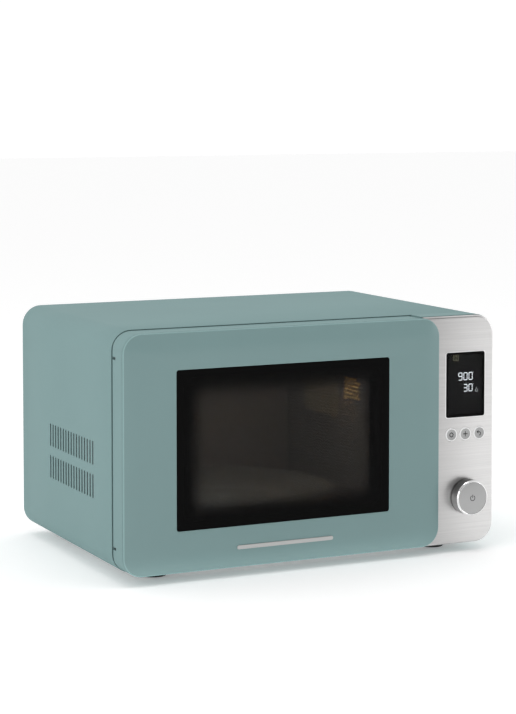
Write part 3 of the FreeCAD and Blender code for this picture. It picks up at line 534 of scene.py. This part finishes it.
def rectLoop(side0, side1, height0, height1, radii, depth, steps=10):
    # a rounded rectangle that faces the front
    corners = ((side0, height0, 180), (side1, height0, 270), (side1, height1, 0), (side0, height1, 90))
    loop = []
    for (side, height, turn), radius in zip(corners, radii):
        radius = max(radius, 0.15)
        midSide = side + radius if side == side0 else side - radius
        midHeight = height + radius if height == height0 else height - radius
        for step in range(steps + 1):
            angle = math.radians(turn + 90 * step / steps)
            loop.append(at(midSide + radius * math.cos(angle), depth, midHeight + radius * math.sin(angle)))
    return loop


def insetLoop(box, radii, inset, depth, steps=10):
    side0, side1, height0, height1 = box
    shrunk = [max(radius - inset, 0.15) if radius > 1 else radius for radius in radii]
    return rectLoop(side0 + inset, side1 - inset, height0 + inset, height1 - inset, shrunk, depth, steps)


def roundLoop(side, height, radius, depth, count):
    turns = [2 * math.pi * i / count for i in range(count)]
    return [at(side + radius * math.cos(turn), depth, height + radius * math.sin(turn)) for turn in turns]


def turnedMesh(name, side, height, profile, count):
    # profile: (radius, depth) pairs from the axis at one end to the axis at the other, about the depth
    return closedMesh(name, lambda bm: addLoops(
        bm, [roundLoop(side, height, radius, depth, count) for radius, depth in profile], False, True, True))


def roundPart(node):
    # middle, radius and the two ends of a part that is round about the depth
    side0, side1, depth0, depth1, height0, height1 = span(node)
    return (side0 + side1) / 2, (height0 + height1) / 2, (side1 - side0) / 2, depth0, depth1


def paintFaces(made, finish, chosen):
    # a second finish on the faces that chosen(middle, normal) picks
    made.data.materials.append(finish)
    for polygon in made.data.polygons:
        if chosen(polygon.center, polygon.normal):
            polygon.material_index = 1


def outFrom(spot, side, height):
    # millimetres from an axis that runs along the depth
    return math.hypot(spot.x - at(side, 0, 0).x, spot.z - height * mm) / mm


# door cover
coverShape = {"bow": 25.0, "bowDepth": 5.0, "bowInsets": (22, 19, 16, 13, 10.5, 8, 6, 4.4, 3, 2),
              "rimRound": 1.1, "rimStart": 0.25, "corner": 23.0, "backDepth": 7.6,
              "window": (64.3, 340.2, 60.3, 245.6), "windowCorner": 3.0, "windowEdge": 0.9, "cornerSteps": 14}


def nearWindow(spot):
    # whether a place on the door's face is within 2 mm of the window
    side0, side1, height0, height1 = coverShape["window"]
    low, high = at(side0 - 2, 0, height0 - 2), at(side1 + 2, 0, height1 + 2)
    return low.x < spot.x < high.x and low.z < spot.z < high.z


def makeDoorCover():
    side0, side1, _, _, height0, height1 = span("door_cover")
    box = (side0, side1, height0, height1)
    radii = [coverShape["corner"]] * 4
    bow, deep, rim, back = (coverShape[key] for key in ("bow", "bowDepth", "rimRound", "backDepth"))
    steps = coverShape["cornerSteps"]
    shoulder = rim + coverShape["rimStart"]
    loops = [insetLoop(box, radii, inset, deep * max(0, 1 - inset / bow) ** 2, steps)
             for inset in (bow + 1, bow, *coverShape["bowInsets"], shoulder)]
    start = deep * (1 - shoulder / bow) ** 2
    # a narrow facet round the rim, with a small round either side of it
    rimProfile = ((rim + 0.05, start + 0.05), (rim - 0.1, start + 0.15), (0.18, start + rim - 0.05),
                  (0.04, start + rim + 0.12), (0, start + rim + 0.35), (0, back - 0.3), (0.3, back),
                  (bow, back))
    loops += [insetLoop(box, radii, inset, depth, steps) for inset, depth in rimProfile]
    window, edge = coverShape["window"], coverShape["windowEdge"]
    radiiWindow = [coverShape["windowCorner"]] * 4
    loops.append(insetLoop(window, radiiWindow, 0, back, steps))
    for step in range(5):
        angle = math.radians(90 * step / 4)
        inset, depth = edge * (math.cos(angle) - 1), edge * (1 - math.sin(angle))
        loops.append(insetLoop(window, radiiWindow, inset, depth, steps))

    def takesPaintedHighlight(spot, normal):
        # the rim's facet, and the round at the window's edge: these get a lighter sage, a painted highlight
        depth, front = (spot.y - face) / mm, -normal.y
        onRim = start < depth < start + rim and 0.3 < front < 0.93
        return onRim or (depth < edge and 0.15 < front < 0.97 and nearWindow(spot))

    mesh = closedMesh("bowedDoorCover", lambda bm: addLoops(bm, loops, joined=True))
    paintFaces(piece("bowedDoorCover", mesh, "door_cover", sharp=40), extras["paintedEdgeHighlight"], takesPaintedHighlight)


# door glass: a raised middle in the window, and a wider flange behind the cover
glassShape = {"flange": 5.7, "flangeFront": 2.7, "back": 4.4,
              "front": ((0.9, 0.25), (0.45, 0.28), (0.2, 0.55))}


def makeDoorGlass():
    window, corner, wide = coverShape["window"], coverShape["windowCorner"], glassShape["flange"]
    step = glassShape["flangeFront"]
    inner, outer = [corner] * 4, [corner + wide] * 4
    loops = [insetLoop(window, inner, inset, depth) for inset, depth in glassShape["front"]]
    loops.append(insetLoop(window, inner, 0.2, step))
    loops += [insetLoop(window, outer, -wide, depth) for depth in (step, glassShape["back"])]
    mesh = closedMesh("windowGlass", lambda bm: addLoops(bm, loops, False, True, True))
    piece("windowGlass", mesh, "door_glass")


# perforated screen
screenShape = {"pitch": 2.0, "hole": 0.7, "field": (86.0, 320.0, 74.0, 238.0), "corner": 4, "fieldCorner": 2,
               "rebate": 0.8}


def makeDoorScreen():
    # a plain border, and a thin field of hexagonal cells with a six-sided hole in each
    side0, side1, depth0, depth1, height0, height1 = span("door_screen")
    field = screenShape["field"]
    pitch, hole = screenShape["pitch"], screenShape["hole"] * screenShape["pitch"] / 2
    middleDepth = (depth0 + depth1) / 2

    def build(bm):
        box = (side0, side1, height0, height1)
        outer, inner = [screenShape["corner"]] * 4, [screenShape["fieldCorner"]] * 4
        rebate = screenShape["rebate"]
        border = [insetLoop(box, outer, 0, depth0), insetLoop(box, outer, 0, depth1),
                  insetLoop(field, inner, rebate, depth1), insetLoop(field, inner, rebate, depth0)]
        addLoops(bm, border, joined=True)
        rise = pitch * math.sqrt(3) / 2
        rows = int((field[3] - field[2]) / rise)
        columns = int((field[1] - field[0]) / pitch)
        corner = pitch / math.sqrt(3)
        turns = [math.radians(30 + 60 * k) for k in range(6)]
        shared = {}

        def vertex(side, height):
            key = (round(side, 3), round(height, 3))
            if key not in shared:
                shared[key] = bm.verts.new(at(side, middleDepth, height))
            return shared[key]

        for row in range(rows):
            for column in range(columns):
                side = field[0] + pitch * (column + 0.5 + 0.5 * (row % 2))
                height = field[2] + rise * (row + 0.5)
                ways = [(math.cos(turn), math.sin(turn)) for turn in turns]
                cell = [vertex(side + corner * c, height + corner * s) for c, s in ways]
                rim = [bm.verts.new(at(side + hole * c, middleDepth, height + hole * s)) for c, s in ways]
                for k in range(6):
                    bm.faces.new((cell[k], cell[(k + 1) % 6], rim[(k + 1) % 6], rim[k]))

    mesh = closedMesh("perforatedScreen", build)
    piece("perforatedScreen", mesh, "door_screen", soft=False)


# casing
casingShape = {"corner": 24.0, "sheet": 1.0, "hem": 0.35, "slotWidth": 3.8, "slotPitch": 8.96,
               "slotRows": ((87.3, 115.7), (126.7, 154.9)), "leftStart": 98.5, "leftCount": 17,
               "rightStart": 232.0, "rightCount": 8, "flange": 30.0, "margin": 2, "arcSteps": 6,
               "cornerSteps": 14}


def slottedCell(bm, place, depth0, depth1, height0, height1, slot):
    # a flat cell with an upright round-ended slot; place(depth, height) gives a point
    middleDepth = (depth0 + depth1) / 2
    radius = casingShape["slotWidth"] / 2
    quarter = casingShape["arcSteps"]
    outline = []
    for turn, end in ((0, slot[1] - radius), (180, slot[0] + radius)):
        for step in range(2 * quarter + 1):
            angle = math.radians(turn + 90 * step / quarter)
            spot = place(middleDepth + radius * math.cos(angle), end + radius * math.sin(angle))
            outline.append(bm.verts.new(spot))
    cellCorners = ((depth1, height1), (depth0, height1), (depth0, height0), (depth1, height0))
    corners = [bm.verts.new(place(depth, height)) for depth, height in cellCorners]
    count = len(outline)
    for k, corner in enumerate(corners):
        first = (k * quarter) + (k // 2)
        for i in range(first, first + quarter):
            bm.faces.new((corner, outline[i % count], outline[(i + 1) % count]))
    bm.faces.new((corners[0], corners[1], outline[quarter]))
    bm.faces.new((corners[2], corners[3], outline[3 * quarter + 1]))
    bm.faces.new((corners[1], corners[2], outline[2 * quarter + 1], outline[2 * quarter]))
    bm.faces.new((corners[3], corners[0], outline[0], outline[count - 1]))


def casingWall(bm, side, start, count, depth0, depth1, low, high):
    # one upright side with two rows of slots
    pitch = casingShape["slotPitch"]
    rows = casingShape["slotRows"]
    depths = [depth0] + [start + pitch * (k - 0.5) for k in range(count + 1)] + [depth1]
    margin = casingShape["margin"]
    heights = [low] + [h for bottom, top in rows for h in (bottom - margin, top + margin)] + [high]

    def place(depth, height):
        return at(side, depth, height)

    for i in range(len(depths) - 1):
        for j in range(len(heights) - 1):
            slotted = 0 < i < len(depths) - 2 and j in (1, 3)
            cell = (depths[i], depths[i + 1], heights[j], heights[j + 1])
            if slotted:
                slottedCell(bm, place, *cell, rows[j // 2])
                continue
            corners = ((cell[0], cell[2]), (cell[1], cell[2]), (cell[1], cell[3]), (cell[0], cell[3]))
            bm.faces.new([bm.verts.new(place(depth, height)) for depth, height in corners])
    return depths


def makeCasing():
    side0, side1, depth0, depth1, height0, height1 = span("outer_casing")
    corner, flange, steps = casingShape["corner"], casingShape["flange"], casingShape["cornerSteps"]

    def bend(midSide, midHeight, turn):
        turns = [math.radians(turn + 90 * k / steps) for k in range(steps + 1)]
        return [(midSide + corner * math.cos(angle), midHeight + corner * math.sin(angle)) for angle in turns]

    def build(bm):
        limits = (depth0, depth1, height0 + corner, height1 - corner)
        leftDepths = casingWall(bm, side0, casingShape["leftStart"], casingShape["leftCount"], *limits)
        rightDepths = casingWall(bm, side1, casingShape["rightStart"], casingShape["rightCount"], *limits)
        strips = [
            ([(side0 + flange, height0)] + bend(side0 + corner, height0 + corner, 180)[::-1], leftDepths),
            (bend(side0 + corner, height1 - corner, 90)[::-1], leftDepths),
            (bend(side1 - corner, height1 - corner, 0), rightDepths),
            (bend(side1 - corner, height0 + corner, 270)[::-1] + [(side1 - flange, height0)], rightDepths),
        ]
        for outline, depths in strips:
            for (s0, h0), (s1, h1) in zip(outline, outline[1:]):
                for d0, d1 in zip(depths, depths[1:]):
                    spots = ((s0, d0, h0), (s1, d0, h1), (s1, d1, h1), (s0, d1, h0))
                    bm.faces.new([bm.verts.new(at(*spot)) for spot in spots])
        # the top joins the two sides, whose depth lines differ
        topLeft = [bm.verts.new(at(side0 + corner, d, height1)) for d in leftDepths]
        topRight = [bm.verts.new(at(side1 - corner, d, height1)) for d in rightDepths]
        bm.faces.new(topLeft + topRight[::-1])

    casing = piece("wrappedCasing", closedMesh("casingSkin", build), "outer_casing")
    thicken(casing, casingShape["sheet"], casingShape["hem"])


def applyModifiers(made):
    depsgraph = bpy.context.evaluated_depsgraph_get()
    mesh = bpy.data.meshes.new_from_object(made.evaluated_get(depsgraph))
    made.modifiers.clear()
    made.data = mesh


def thicken(made, thickness, hem):
    solid = made.modifiers.new("sheet", "SOLIDIFY")
    solid.thickness = thickness * mm
    solid.offset = -1
    solid.use_even_offset = True
    edge = made.modifiers.new("hem", "BEVEL")
    edge.width = hem * mm
    edge.segments = 2
    edge.limit_method = "ANGLE"
    edge.angle_limit = math.radians(50)
    edge.harden_normals = False
    applyModifiers(made)
    made.data.polygons.foreach_set("use_smooth", [True] * len(made.data.polygons))
    made.data.set_sharp_from_angle(angle=math.radians(35))


# knob and buttons
knobShape = {"bevel": 1.5, "dish": 0.25, "rim": 0.6, "wall": 2.2, "boss": 6.5, "bore": 3.0, "sides": 128,
             "icon": 3.1, "stroke": 0.85}


def makeKnob():
    side, height, radius, depth0, depth1 = roundPart("knob_body")
    bevel, dish, wall, boss, bore, sides = (
        knobShape[key] for key in ("bevel", "dish", "wall", "boss", "bore", "sides"))
    inner = radius - bevel - knobShape["rim"]
    front = depth0 + dish
    # the solid part of the knob lies between the dished front and the hollow back
    seat = [(0.01, front + 1.5), (inner, front + 1.5), (inner, depth0 + 0.35), (inner + 0.12, depth0 + 0.1)]
    chamfer = [(inner + 0.3, depth0), (radius - bevel, depth0), (radius - bevel + 0.15, depth0 + 0.08),
               (radius - 0.2, depth0 + bevel * 0.95), (radius - 0.03, depth0 + bevel + 0.15),
               (radius, depth0 + bevel + 0.5)]
    back = [(radius, depth1 - 0.6), (radius - 0.15, depth1 - 0.15), (radius - 0.5, depth1),
            (radius - wall, depth1), (radius - wall, depth0 + 4.5), (boss, depth0 + 4.5),
            (boss, depth1 - 0.4), (bore, depth1 - 0.4), (bore, depth0 + 5.0), (0.01, depth0 + 5.0)]
    mesh = turnedMesh("turnedKnob", side, height, seat + chamfer + back, sides)

    def isChamfer(spot, normal):
        near = (spot.y - face) / mm < depth0 + bevel + 0.3
        return near and outFrom(spot, side, height) > inner - 0.01

    paintFaces(piece("turnedKnob", mesh, "knob_body", sharp=25), extras["chrome"], isChamfer)
    disc = [(0.01, front), (inner - 0.5, front), (inner - 0.12, front + 0.04), (inner - 0.05, front + 0.3),
            (inner - 0.05, front + 1.2), (0.01, front + 1.2)]
    piece("knobDisc", turnedMesh("knobDisc", side, height, disc, sides), "knob_face")
    drawPowerSign(side, height, front - 0.04)


def strokeMesh(name, strokes, width, depth, lift=0.04, rounded=5):
    # flat bands along lines of (side, height) points, with round ends, just proud of a face
    def build(bm):
        for line in strokes:
            rails = bandRails(line, width, rounded)
            closed = Vector(line[0]) == Vector(line[-1])
            back = depth + lift
            loops = [[at(s, d, h) for (s, h), d in ((a, depth), (b, depth), (b, back), (a, back))]
                     for a, b in rails]
            addLoops(bm, loops, closed, not closed, not closed)
    return closedMesh(name, build)


def bandRails(line, width, rounded):
    # pairs of points either side of a line; an open line gets round ends
    points = [Vector(p) for p in line]
    closed = points[0] == points[-1]
    if closed:
        points = points[:-1]
    count = len(points)
    half = width / 2
    rails = []
    for i, point in enumerate(points):
        before = points[i - 1] if closed or i else point
        after = points[(i + 1) % count] if closed or i < count - 1 else point
        incoming, outgoing = (point - before).normalized(), (after - point).normalized()
        along = (incoming + outgoing).normalized()
        reach = half / max(0.5, along.dot(outgoing if outgoing.length else incoming))
        normal = Vector((-along.y, along.x)) * reach
        rails.append((tuple(point + normal), tuple(point - normal)))
    if closed:
        return rails
    for end, beyond in ((0, points[0] - points[1]), (-1, points[-1] - points[-2])):
        along = beyond.normalized()
        normal = Vector((-along.y, along.x))
        point = points[end]
        cap = []
        for k in range(1, rounded):
            turn = math.radians(90 * k / rounded)
            spot = point + along * half * math.sin(turn)
            wide = normal * half * math.cos(turn)
            pair = (tuple(spot + wide), tuple(spot - wide))
            cap.append(pair if end else pair[::-1])
        rails = rails + cap if end else cap[::-1] + rails
    return rails


def arcLine(side, height, radius, turn0, turn1, steps=24):
    turns = [math.radians(turn0 + (turn1 - turn0) * k / steps) for k in range(steps + 1)]
    return [(side + radius * math.cos(turn), height + radius * math.sin(turn)) for turn in turns]


def drawPowerSign(side, height, depth):
    radius = knobShape["icon"]
    strokes = [arcLine(side, height, radius, 125, 415), [(side, height + 0.6), (side, height + radius + 0.9)]]
    mesh = strokeMesh("powerSign", strokes, knobShape["stroke"], depth)
    piece("powerSign", mesh, "knob_face", extras["darkMark"], replaces=False, soft=False)


buttonShape = {"ring": 1.15, "dish": 0.35, "cap": 4.6, "stem": 2.5, "sides": 64, "icon": 2.8,
               "stroke": {"left": 0.7, "middle": 1.0, "right": 1.0}}


def buttonIcon(kind, side, height):
    size = buttonShape["icon"]
    if kind == "middle":
        return [[(side - size, height), (side + size, height)],
                [(side, height - size), (side, height + size)]]
    if kind == "right":
        # an arrow that turns back to the left
        hook = arcLine(side - 0.2, height - 0.9, 2.1, 80, -80, 14)
        top = height - 0.9 + 2.1
        head = [(side - 1.3, top + 1.5), (side - 2.9, top), (side - 1.3, top - 1.5)]
        return [[(side - 2.6, top), (side + 0.1, top)] + hook, head]
    cog = []
    for k in range(49):
        turn = math.radians(7.5 * k)
        reach = size * (0.84 + 0.17 * math.tanh(3 * math.cos(8 * turn)))
        cog.append((side + reach * math.cos(turn), height + reach * math.sin(turn)))
    return [cog]


def makeButtons():
    ring, dish, cap, stem = (buttonShape[key] for key in ("ring", "dish", "cap", "stem"))
    for kind in ("left", "middle", "right"):
        node = "button_" + kind
        side, height, radius, depth0, depth1 = roundPart(node)
        profile = [(0.01, depth0 + dish), (radius - ring - 0.5, depth0 + dish),
                   (radius - ring - 0.1, depth0 + 0.12), (radius - ring, depth0), (radius - 0.5, depth0),
                   (radius - 0.15, depth0 + 0.15), (radius, depth0 + 0.5), (radius, depth0 + cap),
                   (stem, depth0 + cap), (stem, depth1), (0.01, depth1)]
        mesh = turnedMesh(kind + "ButtonCap", side, height, profile, buttonShape["sides"])
        # the white ring round each cap takes the faintly glowing finish, a painted brightness
        paintFaces(piece(kind + "ButtonCap", mesh, node, sharp=30), extras["whiteRingPaintedGlow"],
                   lambda spot, normal: outFrom(spot, side, height) > radius - ring - 0.3)
        mesh = strokeMesh(kind + "ButtonIcon", buttonIcon(kind, side, height), buttonShape["stroke"][kind],
                          depth0 + dish - 0.04)
        piece(kind + "ButtonIcon", mesh, node, extras["darkMark"], replaces=False, soft=False)


# display
displayShape = {"width": 4.7, "gap": 2.5, "stroke": 0.7, "fine": 0.36, "right": 460.3, "behind": 0.08,
                "rows": (("900", 210.7, 8.7), ("30", 196.7, 8.4)), "segmentGap": 0.55,
                "timer": (466.6, 197.2, 1.7), "lamp": (437.2, 238.2), "lampHalf": (3.4, 3.2),
                "lampStroke": 0.45, "corner": 2.6}
litSegments = {"0": "abcdef", "3": "abcdg", "9": "abcdfg"}


def digitStrokes(digit, side, height, width, tall):
    gap = displayShape["segmentGap"]
    right, top, mid = side + width, height + tall, height + tall / 2
    lines = {"a": [(side + gap, top), (right - gap, top)], "b": [(right, top - gap), (right, mid + gap)],
             "c": [(right, mid - gap), (right, height + gap)],
             "d": [(side + gap, height), (right - gap, height)],
             "e": [(side, height + gap), (side, mid - gap)], "f": [(side, mid + gap), (side, top - gap)],
             "g": [(side + gap, mid), (right - gap, mid)]}
    return [lines[key] for key in litSegments[digit]]


def makeDisplay():
    # two rows of figures, a dim lamp sign at the top and a small timer sign
    depth = span("display_module")[2] - displayShape["behind"]
    width, gap, right = displayShape["width"], displayShape["gap"], displayShape["right"]
    figures, marks = [], []
    for text, low, tall in displayShape["rows"]:
        for place, digit in enumerate(reversed(text)):
            figures += digitStrokes(digit, right - width - place * (width + gap), low, width, tall)
        marks.append([(right + 1.5, low + tall + 0.6), (right + 1.2, low + tall - 0.6)])
    timerSide, timerHeight, timerRadius = displayShape["timer"]
    marks += [arcLine(timerSide, timerHeight, timerRadius, 120, 420, 18),
              [(timerSide, timerHeight + 2.0), (timerSide, timerHeight + 3.4)]]
    (side, height), (wide, tall) = displayShape["lamp"], displayShape["lampHalf"]
    corners = ((-1, -1), (-1, 1), (1, 1), (1, -1), (-1, -1))
    bulb = [[(side + x * wide, height + z * tall) for x, z in corners],
            arcLine(side, height + 0.4, 1.7, -50, 230, 14),
            [(side - 0.8, height - 2.0), (side + 0.8, height - 2.0)]]
    for name, strokes, width, finish in (("displayFigures", figures, "stroke", "displayLight"),
                                         ("displayMarks", marks, "fine", "iconLight"),
                                         ("displayLampSign", bulb, "lampStroke", "dimIcon")):
        mesh = strokeMesh(name, strokes, displayShape[width], depth)
        drawn = piece(name, mesh, "display_module", extras[finish], replaces=False, soft=False)
    makeBezel()


def makeBezel():
    # a bright edge round the display's window
    side0, side1, depth0, _, height0, height1 = span("display_window")
    box, radii = (side0, side1, height0, height1), [displayShape["corner"]] * 4
    rim = [insetLoop(box, radii, inset, depth0 + shift) for inset, shift in
           ((-0.12, 0.6), (-0.12, 0.02), (-0.25, -0.06), (-0.8, -0.06), (-0.95, 0.02), (-0.95, 0.6))]
    bezel = closedMesh("displayBezel", lambda bm: addLoops(bm, rim, joined=True))
    piece("displayBezel", bezel, "fascia", extras["brightEdge"], replaces=False)
    for slot in nodes["display_window"].material_slots:
        slot.material = extras["displayGlass"]


# turntable
trayShape = {"thick": 4.0, "rings": (52.0, 84.0, 112.0), "ringHeight": 0.7, "sides": 120, "clear": 0.3,
             "lugCircle": 12.5, "lugSides": 20, "lug": ((1.6, -4.0), (2.3, -3.7), (2.6, -3.0), (2.6, 0.3))}


def flatRings(centre, profile, base, sides):
    # level rings about an upright axis; profile: (radius, height) pairs above the base
    ways = [Vector((math.cos(turn), math.sin(turn), 0)) for turn in
            (2 * math.pi * i / sides for i in range(sides))]
    return [[centre + way * radius * mm + Vector((0, 0, (base + height) * mm)) for way in ways]
            for radius, height in profile]


def makeTray():
    low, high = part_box("turntable_tray")
    centre = Vector(((low.x + high.x) / 2, (low.y + high.y) / 2, 0))
    outer = (high.x - low.x) / 2 / mm
    base = span("roller_right")[5] + trayShape["clear"]
    thick, lift = trayShape["thick"], trayShape["ringHeight"]
    under = [(0.01, 0), (outer - 17, 0), (outer - 13, 0.35), (outer - 9.5, 2.0), (outer - 5.5, 5.8),
             (outer - 2.2, 7.9), (outer - 0.6, 9.1), (outer, 10.1), (outer - 0.1, 10.9), (outer - 0.8, 11.45),
             (outer - 2.0, 11.5), (outer - 3.4, 11.2), (outer - 6.0, 9.7), (outer - 10.2, 6.4),
             (outer - 13.0, 4.6), (outer - 16.5, thick)]
    top = []
    for ring in reversed(trayShape["rings"]):
        top += [(ring + 1.4, thick), (ring + 0.6, thick + lift), (ring - 0.6, thick + lift),
                (ring - 1.4, thick)]

    def build(bm):
        dish = flatRings(centre, under + top + [(0.01, thick)], base, trayShape["sides"])
        addLoops(bm, dish, False, True, True)
        for turn in (math.radians(60 + 120 * k) for k in range(3)):
            out = Vector((math.cos(turn), math.sin(turn), 0)) * trayShape["lugCircle"] * mm
            lug = flatRings(centre + out, trayShape["lug"], base, trayShape["lugSides"])
            addLoops(bm, lug, False, True, True)

    piece("glassTray", closedMesh("glassTray", build), "turntable_tray", sharp=30)


# latch spring
springShape = {"wire": 0.35, "turns": 9.5, "steps": 20, "travel": 4.0, "wireSides": 8}


def makeSpring():
    side0, side1, depth0, depth1, height0, height1 = span("latch_spring")
    wire, sides = springShape["wire"], springShape["wireSides"]
    radius = (side1 - side0) / 2 - wire
    side, depth = (side0 + side1) / 2, (depth0 + depth1) / 2
    count = int(springShape["turns"] * springShape["steps"])
    loops = []
    for i in range(count + 1):
        turn = 2 * math.pi * i / springShape["steps"]
        height = height0 + wire + (height1 - height0 - 2 * wire) * i / count
        out = Vector((math.cos(turn), math.sin(turn), 0))
        spot = at(side, depth, height) + out * radius * mm
        loops.append([spot + (out * math.cos(a) + Vector((0, 0, 1)) * math.sin(a)) * wire * mm
                      for a in (2 * math.pi * k / sides for k in range(sides))])
    mesh = closedMesh("latchCoil", lambda bm: addLoops(bm, loops, False, True, True))
    coil = piece("latchCoil", mesh, "latch_spring", sharp=60)
    at(side, depth, height1)
    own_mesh(coil)


# light inside the cavity
cavityLights = {
    "cavityFill": {"place": at(150, 70, 246), "aim": at(240, 250, 90), "size": (0.12, 0.05), "power": 0.5,
                   "colour": (1.0, 0.96, 0.92)},
    "cavityLamp": {"place": at(360, 147.5, 188), "aim": at(200, 170, 120), "size": (0.03, 0.025),
                   "power": 0.12, "colour": (1.0, 0.66, 0.34)},
}
lampCoverShape = {"depths": (125.0, 170.0), "heights": (171.5, 204.5), "side": 368.6,
                  "layers": ((0.0, 0.6), (0.3, 0.1), (0.9, 0.1), (1.2, 0.6))}


def makeLampCover():
    # a warm sheet of glass in the lamp's cup, seen through the holes in the wall
    (depth0, depth1), (height0, height1) = lampCoverShape["depths"], lampCoverShape["heights"]
    loops = []
    for shift, inset in lampCoverShape["layers"]:
        near, far, low, high = depth0 + inset, depth1 - inset, height0 + inset, height1 - inset
        loops.append([at(lampCoverShape["side"] + shift, depth, height)
                      for depth, height in ((near, low), (far, low), (far, high), (near, high))])
    mesh = closedMesh("lampCover", lambda bm: addLoops(bm, loops, False, True, True))
    piece("lampCover", mesh, "cavity_lamp", extras["lampGlow"], replaces=False)


makeDoorCover()
makeDoorGlass()
makeDoorScreen()
print("door pieces are made")
makeCasing()
print("casing is made")
makeKnob()
makeButtons()
makeDisplay()
print("control panel is made")
makeTray()
makeSpring()
print("turntable and spring are made")
for name, values in cavityLights.items():
    softbox(name, **values).visible_glossy = False
makeLampCover()
print("cavity is lit")
